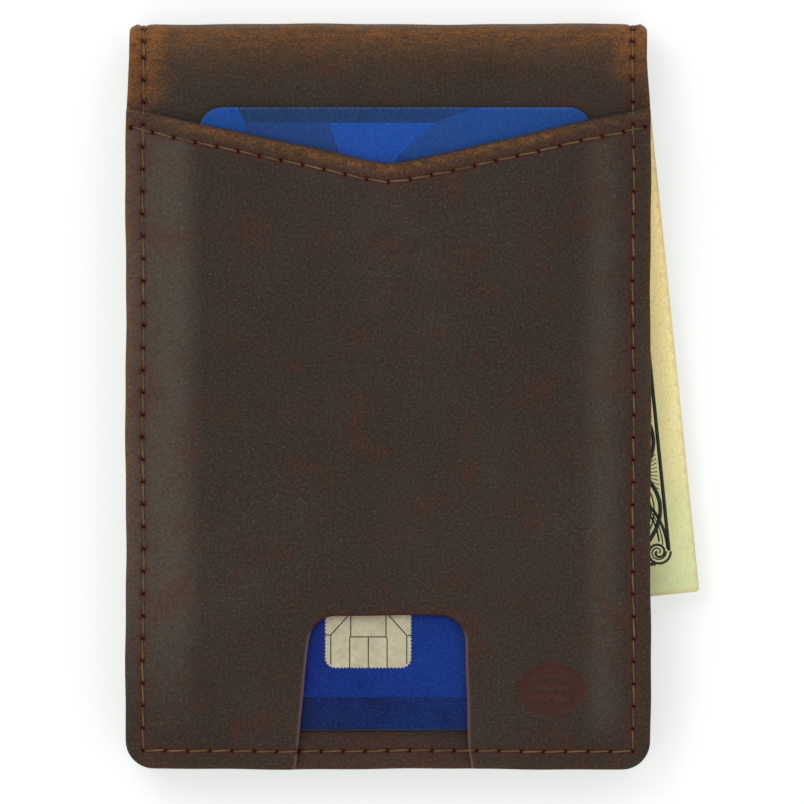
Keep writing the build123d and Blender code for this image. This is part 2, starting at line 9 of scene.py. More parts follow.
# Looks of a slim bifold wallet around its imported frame: pull-up leather with sewn seams, a card
# behind a V-cut mouth, a folded banknote, lined fold, card slots, ID window and note clip.
#
# Shapes are worked out in millimetres in the shared frame and scaled when a mesh is made.
# Leather is laid out flat as (x, s) and then placed: s runs from the back's free edge, round the
# fold and down the front, so one function carries skin, lining and thread round the fold.
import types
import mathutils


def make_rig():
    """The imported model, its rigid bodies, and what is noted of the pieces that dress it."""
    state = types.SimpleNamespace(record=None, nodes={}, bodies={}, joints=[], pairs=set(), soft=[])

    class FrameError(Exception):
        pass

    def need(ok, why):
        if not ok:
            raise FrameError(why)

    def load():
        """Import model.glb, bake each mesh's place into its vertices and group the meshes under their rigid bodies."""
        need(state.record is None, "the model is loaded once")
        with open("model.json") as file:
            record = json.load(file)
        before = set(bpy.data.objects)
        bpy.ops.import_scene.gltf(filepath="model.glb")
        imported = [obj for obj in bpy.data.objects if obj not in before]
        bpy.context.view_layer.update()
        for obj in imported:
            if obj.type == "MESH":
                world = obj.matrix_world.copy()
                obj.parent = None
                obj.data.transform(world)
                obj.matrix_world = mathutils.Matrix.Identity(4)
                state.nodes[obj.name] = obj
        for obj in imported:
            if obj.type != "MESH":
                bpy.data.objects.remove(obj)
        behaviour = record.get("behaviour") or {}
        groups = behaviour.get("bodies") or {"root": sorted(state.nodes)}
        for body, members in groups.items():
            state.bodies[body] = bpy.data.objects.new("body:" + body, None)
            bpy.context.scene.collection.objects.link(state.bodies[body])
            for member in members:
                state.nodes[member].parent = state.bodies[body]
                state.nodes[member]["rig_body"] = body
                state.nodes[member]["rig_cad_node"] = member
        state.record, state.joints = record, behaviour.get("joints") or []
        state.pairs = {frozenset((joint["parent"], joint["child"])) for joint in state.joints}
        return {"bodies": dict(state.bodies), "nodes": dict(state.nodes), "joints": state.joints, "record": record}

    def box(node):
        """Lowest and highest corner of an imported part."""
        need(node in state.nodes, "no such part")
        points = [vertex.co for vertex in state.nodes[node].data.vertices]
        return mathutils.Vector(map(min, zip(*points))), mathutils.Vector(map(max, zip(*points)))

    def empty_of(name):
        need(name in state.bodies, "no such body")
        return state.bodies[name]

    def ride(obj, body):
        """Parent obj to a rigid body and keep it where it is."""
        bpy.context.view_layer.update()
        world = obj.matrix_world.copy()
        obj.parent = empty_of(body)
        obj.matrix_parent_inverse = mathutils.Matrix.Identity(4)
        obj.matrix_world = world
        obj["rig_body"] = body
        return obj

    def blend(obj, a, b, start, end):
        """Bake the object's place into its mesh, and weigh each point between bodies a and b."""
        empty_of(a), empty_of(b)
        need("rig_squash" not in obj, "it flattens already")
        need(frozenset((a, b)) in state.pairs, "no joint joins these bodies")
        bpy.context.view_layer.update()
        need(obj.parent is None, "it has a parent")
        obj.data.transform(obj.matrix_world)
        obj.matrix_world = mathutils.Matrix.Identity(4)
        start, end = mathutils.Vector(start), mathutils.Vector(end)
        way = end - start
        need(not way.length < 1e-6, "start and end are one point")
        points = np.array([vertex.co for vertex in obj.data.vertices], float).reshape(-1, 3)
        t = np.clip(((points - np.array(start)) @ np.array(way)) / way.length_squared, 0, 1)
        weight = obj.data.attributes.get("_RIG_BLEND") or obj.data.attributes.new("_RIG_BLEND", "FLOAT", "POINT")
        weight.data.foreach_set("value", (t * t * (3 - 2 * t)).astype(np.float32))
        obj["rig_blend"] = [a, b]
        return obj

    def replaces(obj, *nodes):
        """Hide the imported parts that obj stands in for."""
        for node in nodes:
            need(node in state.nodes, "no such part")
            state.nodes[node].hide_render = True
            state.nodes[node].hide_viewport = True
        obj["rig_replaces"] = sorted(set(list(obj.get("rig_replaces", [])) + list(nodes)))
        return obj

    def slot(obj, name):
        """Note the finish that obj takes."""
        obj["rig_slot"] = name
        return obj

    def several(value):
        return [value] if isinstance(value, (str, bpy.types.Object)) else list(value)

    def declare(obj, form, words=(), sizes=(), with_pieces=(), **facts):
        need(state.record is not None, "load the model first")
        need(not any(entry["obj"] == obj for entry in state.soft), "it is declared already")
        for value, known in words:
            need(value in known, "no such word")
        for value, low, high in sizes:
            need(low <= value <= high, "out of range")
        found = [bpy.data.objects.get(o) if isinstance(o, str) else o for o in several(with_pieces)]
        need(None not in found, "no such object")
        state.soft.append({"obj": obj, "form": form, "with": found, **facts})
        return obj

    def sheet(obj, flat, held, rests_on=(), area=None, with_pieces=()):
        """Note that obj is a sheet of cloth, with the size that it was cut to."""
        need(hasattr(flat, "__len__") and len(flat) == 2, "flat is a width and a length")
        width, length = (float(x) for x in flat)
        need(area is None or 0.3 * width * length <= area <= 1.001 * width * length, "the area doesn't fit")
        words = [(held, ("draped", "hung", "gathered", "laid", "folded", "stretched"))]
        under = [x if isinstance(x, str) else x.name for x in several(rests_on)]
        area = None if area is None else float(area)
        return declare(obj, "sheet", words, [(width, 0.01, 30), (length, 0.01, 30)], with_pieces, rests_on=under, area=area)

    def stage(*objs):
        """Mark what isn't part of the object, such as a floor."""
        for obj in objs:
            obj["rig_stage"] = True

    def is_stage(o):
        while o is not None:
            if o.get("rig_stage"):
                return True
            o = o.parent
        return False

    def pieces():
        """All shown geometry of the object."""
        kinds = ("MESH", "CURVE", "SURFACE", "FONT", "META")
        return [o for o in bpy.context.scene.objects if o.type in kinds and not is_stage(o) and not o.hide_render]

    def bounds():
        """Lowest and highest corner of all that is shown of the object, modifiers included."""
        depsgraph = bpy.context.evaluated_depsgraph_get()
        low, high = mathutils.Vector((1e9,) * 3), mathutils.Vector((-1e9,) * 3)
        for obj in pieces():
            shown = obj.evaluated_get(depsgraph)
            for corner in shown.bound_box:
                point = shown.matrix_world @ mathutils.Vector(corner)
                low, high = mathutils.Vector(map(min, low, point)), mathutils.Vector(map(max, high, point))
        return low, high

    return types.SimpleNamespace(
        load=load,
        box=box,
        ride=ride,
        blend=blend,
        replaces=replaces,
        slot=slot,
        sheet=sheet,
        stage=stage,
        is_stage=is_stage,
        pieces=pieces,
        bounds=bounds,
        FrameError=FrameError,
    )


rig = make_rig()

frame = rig.load()
cad_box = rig.bounds()
MM = 0.001


def extent(node):
    """Lowest and highest corner of a CAD node, in millimetres."""
    low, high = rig.box(node)
    return np.array(low) / MM, np.array(high) / MM


# ---- Sizes taken from the frame ----
BACK_LOW, BACK_HIGH = extent("shell_back")
HALF = BACK_HIGH[0]  # half the wallet's width
FREE_Y = BACK_LOW[1]
FOLD_HALF, TIP_Y, _ = extent("shell_fold_lower")[1]
FACE_Z = extent("shell_front")[1][2]  # outer face of the front shell
FOLD_RADIUS = FACE_Z / 2
FOLD_Y = TIP_Y - FOLD_RADIUS
SKIN = FACE_Z - extent("shield_front")[1][2]  # thickness of the shell leather
LINING = 0.3
FOLD_ARC = math.pi * FOLD_RADIUS
FRONT_S = FOLD_Y + FOLD_ARC  # where the front half's flat begins, laid out
END_S = FRONT_S + FOLD_Y - FREE_Y
STRIPS = 3  # the laid-out shell is cut into this many pieces, one to each hinge line
TAPER_Y = 39.0  # above it the shell narrows towards the fold
CORNER = 3.8

POCKET_THICKNESS = 1.2
POCKET_FACE = FACE_Z + POCKET_THICKNESS
POCKET_RISE = extent("front_pocket")[1][2] - FACE_Z - POCKET_THICKNESS
MOUTH_SIDE_Y = 39.8
MOUTH_DROP = 8.0
MOUTH_RADIUS = 10.0
NOTCH_TOP_Y = -30.2
NOTCH_TOP = (-10.6, 10.4)  # its left and right ends at the top
NOTCH_FOOT = (-12.75, 11.5)  # and at the free edge
NOTCH_EASE = 0.4  # how far it has drawn in at the seam
NOTCH_RADIUS = 3.6

SEAM_X = 33.7
SEAM_Y = -48.8
PITCH = 3.08
MOUTH_SEAM = 2.6  # below the mouth's edge
MOUTH_SEAM_HALF = 35.3  # and from side to side
MOUTH_PITCH = 3.0


# ---- Colours and materials ----
def linear(red, green, blue):
    """A colour given in 0-255 display values, as linear light."""
    shares = [v / 255 for v in (red, green, blue)]
    return tuple(v / 12.92 if v <= 0.04045 else ((v + 0.055) / 1.055) ** 2.4 for v in shares) + (1.0,)


LIGHT_LEVEL = 1.4  # how brightly the scene's light shows a white surface
HAZE = 0.012  # what a satin surface adds to its own colour by reflection


def shown(red, green, blue, haze=HAZE):
    """The surface colour that the scene's light shows as a display colour."""
    return tuple(max(v - haze, 0.002) / LIGHT_LEVEL for v in linear(red, green, blue)[:3]) + (1.0,)


class Shader:
    """A material under construction, with short ways to add nodes."""

    def __init__(self, name):
        self.material = bpy.data.materials.new(name)
        self.material.use_nodes = True
        self.tree = self.material.node_tree
        self.bsdf = self.tree.nodes["Principled BSDF"]
        self.rest = self.attribute("rest", "Vector")

    def add(self, kind, inputs, output=0, **settings):
        """A new node with its settings and inputs made; gives one of its outputs."""
        node = self.tree.nodes.new("ShaderNode" + kind)
        for name, value in settings.items():
            setattr(node, name, value)
        for socket, value in inputs.items():
            self.set(node.inputs[socket], value)
        return node.outputs[output]

    def attribute(self, name, output="Fac"):
        return self.add("Attribute", {}, output, attribute_name=name)

    def set(self, socket, value):
        """Links a socket, or gives it a value."""
        if isinstance(value, bpy.types.NodeSocket):
            self.tree.links.new(value, socket)
        else:
            socket.default_value = value

    def stretch(self, factors):
        """The rest position, scaled along each axis."""
        return self.add("VectorMath", {0: self.rest, 1: factors}, operation="MULTIPLY")

    def axis(self, name):
        """One part of the rest position."""
        return self.add("SeparateXYZ", {0: self.rest}, name)

    def noise(self, scale, detail=3.0, rough=0.55, at=None, distort=0.0):
        inputs = {"Scale": scale, "Detail": detail, "Roughness": rough, "Distortion": distort}
        return self.add("TexNoise", {"Vector": at or self.rest, **inputs}, "Fac")

    def cells(self, scale):
        return self.add("TexVoronoi", {"Vector": self.rest, "Scale": scale}, "Distance")

    def fit(self, value, low, high, to_low=0.0, to_high=1.0):
        """Carries low..high onto to_low..to_high, clamped."""
        inputs = {"Value": value, "From Min": low, "From Max": high, "To Min": to_low, "To Max": to_high}
        return self.add("MapRange", inputs, "Result")

    def combine(self, a, b, operation="MULTIPLY"):
        return self.add("Math", {0: a, 1: b}, operation=operation)

    def mix(self, share, a, b):
        return self.add("Mix", {0: share, 6: a, 7: b}, 2, data_type="RGBA")

    def tint(self, colour, mask, low, high, amount, tone):
        """Carries the colour towards a tone, by up to amount, as the mask goes from low to high."""
        return self.mix(self.fit(mask, low, high, 0.0, amount), colour, tone)

    def bump(self, height, distance, strength, below=None):
        inputs = {"Strength": strength, "Distance": distance * MM, "Height": height}
        return self.add("Bump", inputs if below is None else {**inputs, "Normal": below})

    def done(self, colour, rough, normal, specular, **values):
        self.set(self.bsdf.inputs["Base Color"], colour)
        self.set(self.bsdf.inputs["Roughness"], rough)
        self.bsdf.inputs["Specular IOR Level"].default_value = specular
        if normal is not None:
            self.set(self.bsdf.inputs["Normal"], normal)
        for name, value in values.items():
            self.bsdf.inputs[name.replace("_", " ")].default_value = value
        return self.material


def leather_material(name, deep, warm, sheen_tone, red, pull, rim):
    """Oiled pull-up leather: mottled brown that turns orange where it is bent or rubbed, with painted highlight on the
    fold, the mouth's lip and the pocket's slopes, and painted shade in seams, holes and recesses.
    """
    m = Shader(name)
    mottle = m.fit(m.noise(0.06, 5.0, 0.6), 0.3, 0.7)
    colour = m.mix(mottle, deep, warm)
    # painted highlight: lightened towards the sheen tone where the pocket's slopes rise over the card's sides
    colour = m.mix(m.fit(m.attribute("rub"), 0.0, 1.0), colour, sheen_tone)
    colour = m.tint(colour, m.noise(0.16, 5.0, 0.7, distort=0.4), 0.5, 0.72, 0.6, red)
    speck = m.noise(3.0, 4.0, 0.8)
    # pull-up orange, which also carries a painted highlight on the fold and along the mouth's lip
    pull_sheen_mask = m.combine(m.attribute("pull"), m.fit(m.noise(0.55, 5.0, 0.7), 0.3, 0.62, 0.5, 1.15))
    pull_sheen_mask = m.combine(pull_sheen_mask, m.fit(speck, 0.34, 0.66, 0.35, 1.65))
    streaks = m.fit(m.noise(0.5, 4.0, 0.7, at=m.stretch((0.5, 2.6, 1.0))), 0.35, 0.65, 0.55, 1.35)
    colour = m.mix(m.fit(m.combine(pull_sheen_mask, streaks), 0.0, 1.0), colour, pull)
    fleck = m.noise(1.1, 5.0, 0.85, distort=0.5)
    colour = m.tint(colour, speck, 0.54, 0.72, 0.5, shown(118, 96, 72))
    colour = m.tint(colour, speck, 0.47, 0.28, 0.75, shown(30, 19, 16))
    colour = m.tint(colour, fleck, 0.45, 0.26, 0.5, shown(42, 30, 25))
    colour = m.tint(colour, m.attribute("rim"), 0.25, 0.75, 0.85, rim)
    # painted shade: darker in seam channels, stitch holes, under the notch's top edge and in the stamp's grooves; the
    # stamp's own darker tone rides on it too
    dark = m.attribute("dark")
    colour = m.tint(colour, dark, 0.0, 0.65, 0.92, shown(66, 27, 18, 0.0))
    colour = m.tint(colour, dark, 0.7, 1.1, 0.85, shown(20, 8, 6, 0.0))
    pores = m.fit(m.cells(1.5), 0.05, 0.6)
    grain = m.noise(2.0, 4.0, 0.7, distort=0.3)
    normal = m.bump(pores, 0.025, 0.6)
    normal = m.bump(grain, 0.08, 0.6, normal)
    normal = m.bump(speck, 0.03, 0.7, normal)
    rough = m.fit(m.noise(0.35, 4.0, 0.6), 0.3, 0.7, 0.46, 0.53)
    return m.done(colour, rough, normal, 0.1)


def cloth_material():
    """Fine plain-weave lining."""
    m = Shader("shield_cloth")
    ways = (1.0, 0.12, 1.0), (0.12, 1.0, 1.0)
    weave = m.combine(*[m.noise(3.2, 2.0, 0.5, at=m.stretch(way)) for way in ways], "MAXIMUM")
    colour = m.mix(m.fit(weave, 0.4, 0.72), shown(38, 36, 38), shown(84, 82, 88))
    normal = m.bump(weave, 0.06, 0.8)
    return m.done(colour, m.fit(weave, 0.3, 0.8, 0.85, 0.7), normal, 0.3)


def thread_material():
    """Waxed brown thread, more orange where it is rubbed or where painted highlight lies, and darker with painted
    shade where it sinks into its holes.
    """
    m = Shader("waxed_thread")
    colour = m.mix(m.fit(m.noise(0.3, 3.0), 0.35, 0.65), shown(112, 92, 60), shown(82, 66, 44))
    colour = m.mix(m.combine(m.attribute("pull"), 0.5), colour, shown(136, 96, 52))
    colour = m.mix(m.attribute("dark"), colour, shown(52, 20, 10, 0.0))
    fibre = m.noise(9.0, 2.0, 0.6)
    return m.done(colour, m.fit(fibre, 0.3, 0.7, 0.5, 0.75), m.bump(fibre, 0.02, 0.7), 0.12)


def card_material(name, colour):
    """Printed plastic with a faint print screen under a satin laminate."""
    m = Shader(name)
    dots = m.noise(3.6, 3.0, 0.75)
    shade = m.tint(colour, m.noise(0.1, 3.0), 0.3, 0.7, 0.1, shown(38, 92, 180))
    shade = m.tint(shade, m.axis("X"), -6.0, 14.0, 0.14, shown(34, 84, 176))
    shade = m.tint(shade, dots, 0.5, 0.3, 0.38, shown(20, 30, 62))
    shade = m.tint(shade, dots, 0.52, 0.7, 0.16, shown(60, 104, 180))
    shade = m.tint(shade, m.attribute("rim"), 0.3, 0.9, 0.4, shown(104, 128, 160))
    dust = m.fit(m.noise(0.9, 4.0, 0.7), 0.3, 0.75, 0.3, 0.46)
    return m.done(shade, dust, m.bump(dots, 0.003, 0.4), 0.1)


def brushed_steel(name, colour, rough):
    m = Shader(name)
    place = m.add("TexCoord", {}, "Object")
    lines = m.noise(1.0, 3.0, 0.6, at=m.add("Mapping", {"Vector": place, "Scale": (60.0, 2400.0, 900.0)}))
    smudge = m.noise(160.0, 3.0, 0.6, at=place)
    shade = m.mix(m.fit(lines, 0.3, 0.7), colour, tuple(0.72 * v for v in colour[:3]) + (1.0,))
    shine = m.fit(smudge, 0.3, 0.7, rough, rough + 0.14)
    return m.done(shade, shine, m.bump(lines, 0.006, 0.5), 0.5, Metallic=1.0)


def paper_material():
    """Old cotton paper: pale yellow near the fold, greener towards the free end, with painted shade along its edges.
    """
    m = Shader("note_paper")
    colour = m.mix(m.fit(m.axis("Y"), 6.0, 48.0), linear(178, 184, 138), linear(252, 226, 154))
    colour = m.tint(colour, m.noise(0.16, 4.0, 0.6), 0.35, 0.7, 0.4, linear(228, 214, 158))
    fine = m.noise(3.4, 3.0, 0.7, at=m.stretch((1.0, 0.6, 1.0)), distort=0.6)
    colour = m.tint(colour, fine, 0.5, 0.7, 0.55, linear(176, 168, 118))
    # painted shade along the edges
    colour = m.tint(colour, m.attribute("rim"), 0.4, 1.0, 0.6, linear(160, 134, 92))
    crease = m.noise(0.45, 5.0, 0.7, distort=0.8)
    normal = m.bump(fine, 0.03, 0.5, m.bump(crease, 0.22, 0.5))
    return m.done(colour, m.fit(crease, 0.3, 0.7, 0.82, 0.95), normal, 0.12)


# Each leather's deep brown, warm brown, painted sheen tone, red patches, pulled orange (partly a painted highlight)
# and cut edge.
OUTER_LEATHER = leather_material(
    "pull_up_leather", shown(53, 46, 40), shown(60, 53, 47), shown(84, 75, 66), shown(74, 46, 39),
    shown(134, 86, 44), shown(100, 76, 73),
)
INNER_LEATHER = leather_material(
    "inner_leather", shown(60, 48, 40), shown(74, 58, 46), shown(92, 76, 62), shown(78, 50, 38),
    shown(124, 78, 42), shown(104, 76, 68),
)
THREAD = thread_material()
LINING_CLOTH = cloth_material()


# ---- Outlines ----
def dense(path, step, closed=True):
    """The same path with points no further apart than step."""
    ends = np.roll(path, -1, 0) if closed else path[1:]
    starts = path if closed else path[:-1]
    run = []
    for a, b in zip(starts, ends):
        count = max(1, math.ceil(np.linalg.norm(b - a) / step - 1e-9))
        run += [a + (b - a) * i / count for i in range(count)]
    if not closed:
        run.append(path[-1])
    return np.array(run)


def straight(start, end, step):
    return dense(np.array([start, end], float), step, closed=False)


def rounded(corners, step):
    """A loop through corners (x, y, radius), with those corners rounded."""
    points = np.array([c[:2] for c in corners], float)
    run = []
    for i, (_, _, radius) in enumerate(corners):
        here = points[i]
        if radius <= 0:
            run.append(here)
            continue
        before, after = points[i - 1] - here, points[(i + 1) % len(points)] - here
        before, after = before / np.linalg.norm(before), after / np.linalg.norm(after)
        turn = math.pi - math.acos(float(np.clip(before @ after, -1, 1)))
        middle = (before + after) / np.linalg.norm(before + after)
        centre = here + middle * radius / math.cos(turn / 2)
        back = radius * math.tan(turn / 2)
        first, last = here + before * back - centre, here + after * back - centre
        count = max(4, math.ceil(radius * turn / step))
        for t in np.linspace(0, 1, count + 1):
            spoke = (math.sin((1 - t) * turn) * first + math.sin(t * turn) * last) / math.sin(turn)
            run.append(centre + spoke)
    return dense(np.array(run), step)


def rounded_box(low, high, radius, step):
    """A rectangle with its corners rounded."""
    corners = (low[0], low[1]), (high[0], low[1]), (high[0], high[1]), (low[0], high[1])
    return rounded([(x, y, radius) for x, y in corners], step)


def segments(path, closed=True):
    """Starts and ends of a path's segments."""
    return (path, np.roll(path, -1, 0)) if closed else (path[:-1], path[1:])


def distance(points, starts, ends):
    """Distance from each point to the nearest of the segments."""
    along = ends - starts
    length = np.maximum((along**2).sum(1), 1e-12)
    found = []
    for block in np.array_split(points, max(1, len(points) * len(starts) // 2_000_000)):
        offset = block[:, None] - starts[None]
        share = np.clip((offset * along[None]).sum(2) / length[None], 0, 1)
        gap = offset - share[..., None] * along[None]
        found.append(np.sqrt((gap**2).sum(2).min(1)))
    return np.concatenate(found)


def inside(points, loops):
    """Whether each point is inside the loops, counted odd or even."""
    odd = np.zeros(len(points), bool)
    x, y = points[:, 0, None], points[:, 1, None]
    for loop in loops:
        a, b = segments(loop)
        crosses = (a[None, :, 1] > y) != (b[None, :, 1] > y)
        rise = np.where(b[:, 1] == a[:, 1], 1e-12, b[:, 1] - a[:, 1])
        at = a[None, :, 0] + (y - a[None, :, 1]) * ((b[:, 0] - a[:, 0]) / rise)[None]
        odd ^= ((crosses & (x < at)).sum(1) % 2).astype(bool)
    return odd


def to_left(tangent):
    """Unit vectors to the left of each tangent."""
    return np.stack([-tangent[:, 1], tangent[:, 0]], 1) / np.linalg.norm(tangent, axis=1)[:, None]


def inset(loop, depth):
    """The loop moved inwards by depth; points that would crowd in a corner are left out."""
    moved = loop + depth * to_left(np.roll(loop, -1, 0) - np.roll(loop, 1, 0))
    return moved[distance(moved, *segments(loop)) > 0.93 * depth]


def counter_clockwise(loop):
    a, b = segments(loop)
    return loop if (a[:, 0] * b[:, 1] - a[:, 1] * b[:, 0]).sum() > 0 else loop[::-1]


def hex_grid(low, high, step):
    """Points over a box, in staggered rows."""
    rows = np.arange(low[1], high[1], step * 0.866)
    points = [
        (x, y) for i, y in enumerate(rows) for x in np.arange(low[0] + (i % 2) * step / 2, high[0], step)
    ]
    return np.array(points)


def ring_points(centres, radii, count):
    """Small rings of points round each centre, so that a dent there is round."""
    turns = np.arange(count) * 2 * math.pi / count
    found = [np.asarray(centres)]
    for radius in radii:
        for turn in turns:
            found.append(centres + radius * np.array([math.cos(turn), math.sin(turn)]))
    return np.concatenate(found)


def smooth(t):
    t = np.clip(t, 0, 1)
    return t * t * (3 - 2 * t)


def near(value, centre, width):
    """1 at the centre, falling like a bell."""
    return np.exp(-(((value - centre) / width) ** 2))


# ---- Where laid-out points go ----
def wander(x, y):
    """The small irregularity of hand-cut leather."""
    return (
        x + 0.07 * np.sin(0.19 * y + 0.04 * x + 0.7) + 0.03 * np.sin(0.61 * y + 2.0),
        y + 0.07 * np.sin(0.17 * x + 0.03 * y + 1.9) + 0.03 * np.sin(0.53 * x + 0.4),
    )


def straight_place(x, y, up):
    return np.stack([x, y, up], 1)


def flat_place(x, y, up):
    return straight_place(*wander(x, y), up)


def fold_place(x, s, up):
    """Carries the laid-out shell, with up above its outer face, round the fold."""
    angle = np.clip((s - FOLD_Y) / FOLD_RADIUS, 0, math.pi)
    before = np.minimum(s - FOLD_Y, 0)
    after = np.maximum(s - FRONT_S, 0)
    off_seam = (np.abs(x) - SEAM_X) / 0.7
    pinch = 0.16 * np.exp(-(off_seam**2)) + 0.7 * smooth((np.abs(x) - FOLD_HALF + 1.1) / 1.2) ** 2
    radius = FOLD_RADIUS + up - pinch * np.sin(angle)
    y = FOLD_Y + before + radius * np.sin(angle) - after
    z = FOLD_RADIUS - (FOLD_RADIUS + up) * np.cos(angle)
    x, y = wander(x, y)
    return np.stack([x, y, z], 1)


# ---- Mesh making ----
def make_object(name, points, faces, attributes, materials, indices=None):
    """A smooth mesh object from points in millimetres, with values stored for its material."""
    mesh = bpy.data.meshes.new(name)
    mesh.from_pydata((np.asarray(points) * MM).tolist(), [], [list(map(int, f)) for f in faces])
    mesh.update()
    mesh.polygons.foreach_set("use_smooth", np.ones(len(mesh.polygons), bool))
    for key, values in attributes.items():
        kind, field = ("FLOAT_VECTOR", "vector") if np.ndim(values) == 2 else ("FLOAT", "value")
        data = mesh.attributes.new(key, kind, "POINT").data
        data.foreach_set(field, np.asarray(values, np.float32).ravel())
    for material in materials:
        mesh.materials.append(material)
    if indices is not None:
        mesh.polygons.foreach_set("material_index", np.asarray(indices, np.int32))
    obj = bpy.data.objects.new(name, mesh)
    bpy.context.scene.collection.objects.link(obj)
    return obj


def triangulate(points, loops, lines=()):
    """Triangles over the loops' inside, through all the points; lines are kept as edges."""
    chains, start = [], 0
    for loop in loops:
        numbers = start + np.arange(len(loop))
        chains += list(zip(numbers.tolist(), np.roll(numbers, -1).tolist()))
        start += len(loop)
    for line in lines:
        chains += [(start + i, start + i + 1) for i in range(len(line) - 1)]
        start += len(line)
    result = delaunay_2d_cdt([Vector(p) for p in points], chains, [], 0, 1e-6, False)
    flat = np.array([tuple(v) for v in result[0]])
    triangles = np.array([f for f in result[2] if len(f) == 3])
    a, b = flat[triangles[:, 1]] - flat[triangles[:, 0]], flat[triangles[:, 2]] - flat[triangles[:, 0]]
    doubled_area = a[:, 0] * b[:, 1] - a[:, 1] * b[:, 0]
    triangles = triangles[doubled_area > 1e-5]  # leaves out slivers along straight edges
    return flat, triangles[inside(flat[triangles].mean(1), loops)]


def sheet_mesh(
    name, loops, low, high, place=flat_place, flipped=False, step=1.1, roll=0.28, cuts=(), top=None,
    bottom=None, extra=(), lines=(), wear=None, materials=(OUTER_LEATHER,), index=None,
):
    """A sheet of even thickness with rolled edges, laid out flat and then placed.

    cuts are the s values where it meets the next piece, so it isn't rolled there; top and bottom
    give the relief of its two faces, and wear what its material reads. lines are kept as edges,
    and index says which of the materials each place has.
    """
    loops = [counter_clockwise(loops[0])] + [counter_clockwise(hole)[::-1] for hole in loops[1:]]
    starts, ends = (np.concatenate(side) for side in zip(*map(segments, loops)))
    on_cut = np.zeros(len(starts), bool)
    for cut in cuts:
        on_cut |= (abs(starts[:, 1] - cut) < 1e-6) & (abs(ends[:, 1] - cut) < 1e-6)

    rings = [inset(loop, roll * share) for loop in loops for share in (0.12, 0.36, 0.66, 1.0)]
    inner = hex_grid(loops[0].min(0), loops[0].max(0), step)
    inner = inner[inside(inner, loops)]
    inner = inner[distance(inner, starts, ends) > roll + 0.45 * step]
    extra = np.concatenate([np.zeros((0, 2)), *extra])
    extra = extra[inside(extra, loops)]
    extra = extra[distance(extra, starts, ends) > 0.05]
    flat, triangles = triangulate(np.concatenate([*loops, *lines, *rings, inner, extra]), loops, lines)
    used, numbers = np.unique(triangles, return_inverse=True)
    flat, triangles = flat[used], numbers.reshape(triangles.shape)

    count = len(flat)
    x, y = flat[:, 0], flat[:, 1]
    edge = distance(flat, starts[~on_cut], ends[~on_cut])
    over = np.clip(roll - edge, 0, roll)
    drop = roll - np.sqrt(np.maximum(roll**2 - over**2, 0))
    high_z = high - drop + (top(x, y) if top else 0)
    low_z = low + drop + (bottom(x, y) if bottom else 0)

    edges = np.concatenate([triangles[:, [0, 1]], triangles[:, [1, 2]], triangles[:, [2, 0]]])
    there, back = edges @ (count, 1), edges @ (1, count)
    a, b = edges[~np.isin(there, back)].T  # the edges that only one triangle has
    wall = np.stack([b, a, a + count, b + count], 1)
    faces = []
    for part in (triangles, triangles[:, ::-1] + count, wall):
        faces += (part[:, ::-1] if flipped else part).tolist()

    cut_edge = np.clip(1 - edge / (roll * 0.8), 0, 1)
    worn = wear(x, y, edge) if wear else {}
    values = {"rest": np.stack([np.tile(x, 2), np.tile(y, 2), np.concatenate([high_z, low_z])], 1)}
    for key, upper, lower in (("pull", 0, 0.12), ("dark", 0, 0), ("rub", 0, 0), ("rim", cut_edge, cut_edge)):
        values[key] = np.concatenate([np.broadcast_to(v, count) for v in (worn.get(key, upper), lower)])
    indices = None
    if index:
        kinds = index(flat[triangles].mean(1))
        indices = np.concatenate([kinds, kinds, np.zeros(len(wall), int)])
    verts = np.concatenate([place(x, y, high_z), place(x, y, low_z)])
    return make_object(name, verts, faces, values, materials, indices)


# ---- Seams ----
def even(start, end):
    """Hole places from start to end, evenly spaced and about a pitch apart."""
    return np.linspace(start, end, max(1, round(abs(end - start) / PITCH)) + 1)


def column(x, places):
    return np.stack([np.full(len(places), x), places], 1)


def both_sides(places):
    """A column of holes up each side."""
    return [column(x, places) for x in (-SEAM_X, SEAM_X)]


def row(places, y):
    return np.stack([places, np.full(len(places), y)], 1)


BACK_HOLES = even(SEAM_Y, FOLD_Y)  # up one side of a half
ARC_HOLES = np.linspace(FOLD_Y, FRONT_S, 2 * STRIPS + 1)  # round the fold, two stitches to a piece
FRONT_HOLES = FRONT_S + FOLD_Y - BACK_HOLES[::-1]
FREE_HOLES = even(-SEAM_X, SEAM_X)
CHANNEL = 0.13  # depth of the pressed line along a seam
DENT = 0.42  # depth at a hole


class Seams:
    """Chains of stitch holes, and the relief that they leave in leather."""

    def __init__(self, chains):
        self.chains = chains
        self.holes = np.concatenate(chains)
        parts = [segments(chain, closed=False) for chain in chains]
        self.lines = np.concatenate([p[0] for p in parts]), np.concatenate([p[1] for p in parts])

    def gaps(self, x, y):
        """Distance of each point to the seam lines and to the holes."""
        points = np.stack([x, y], 1)
        return distance(points, *self.lines), distance(points, self.holes, self.holes)

    def relief(self, x, y):
        line, hole = self.gaps(x, y)
        return -CHANNEL * near(line, 0, 0.5) - DENT * near(hole, 0, 0.24)

    # painted shade in the holes and along each seam's pressed channel
    def dark(self, x, y):
        line, hole = self.gaps(x, y)
        pressed_shade = 0.3 * near(line, 0, 0.28) + 0.07 * near(line, 0, 1.1)
        return np.clip(1.2 * near(hole, 0, 0.4) + pressed_shade, 0, 1.1)

    def points(self):
        """Where the sheet needs points, so that the relief shows."""
        beside = []
        for chain in self.chains:
            fine = dense(chain, 0.8, closed=False)
            across = to_left(np.gradient(fine, axis=0))
            beside += [fine + side * across for side in (-0.95, -0.55, 0.55, 0.95)]
        return [ring_points(self.holes, (0.15, 0.32), 7), *beside]


PLY_TURN = 1.35  # how often the plies twist round in one stitch
THREAD_RADIUS = 0.135
THREAD_LIFT = 0.1  # how high a stitch's middle stands
THREAD_SINK = -0.36  # and how deep its ends go
THREAD_LEAN = 0.08  # how far it slants off the seam


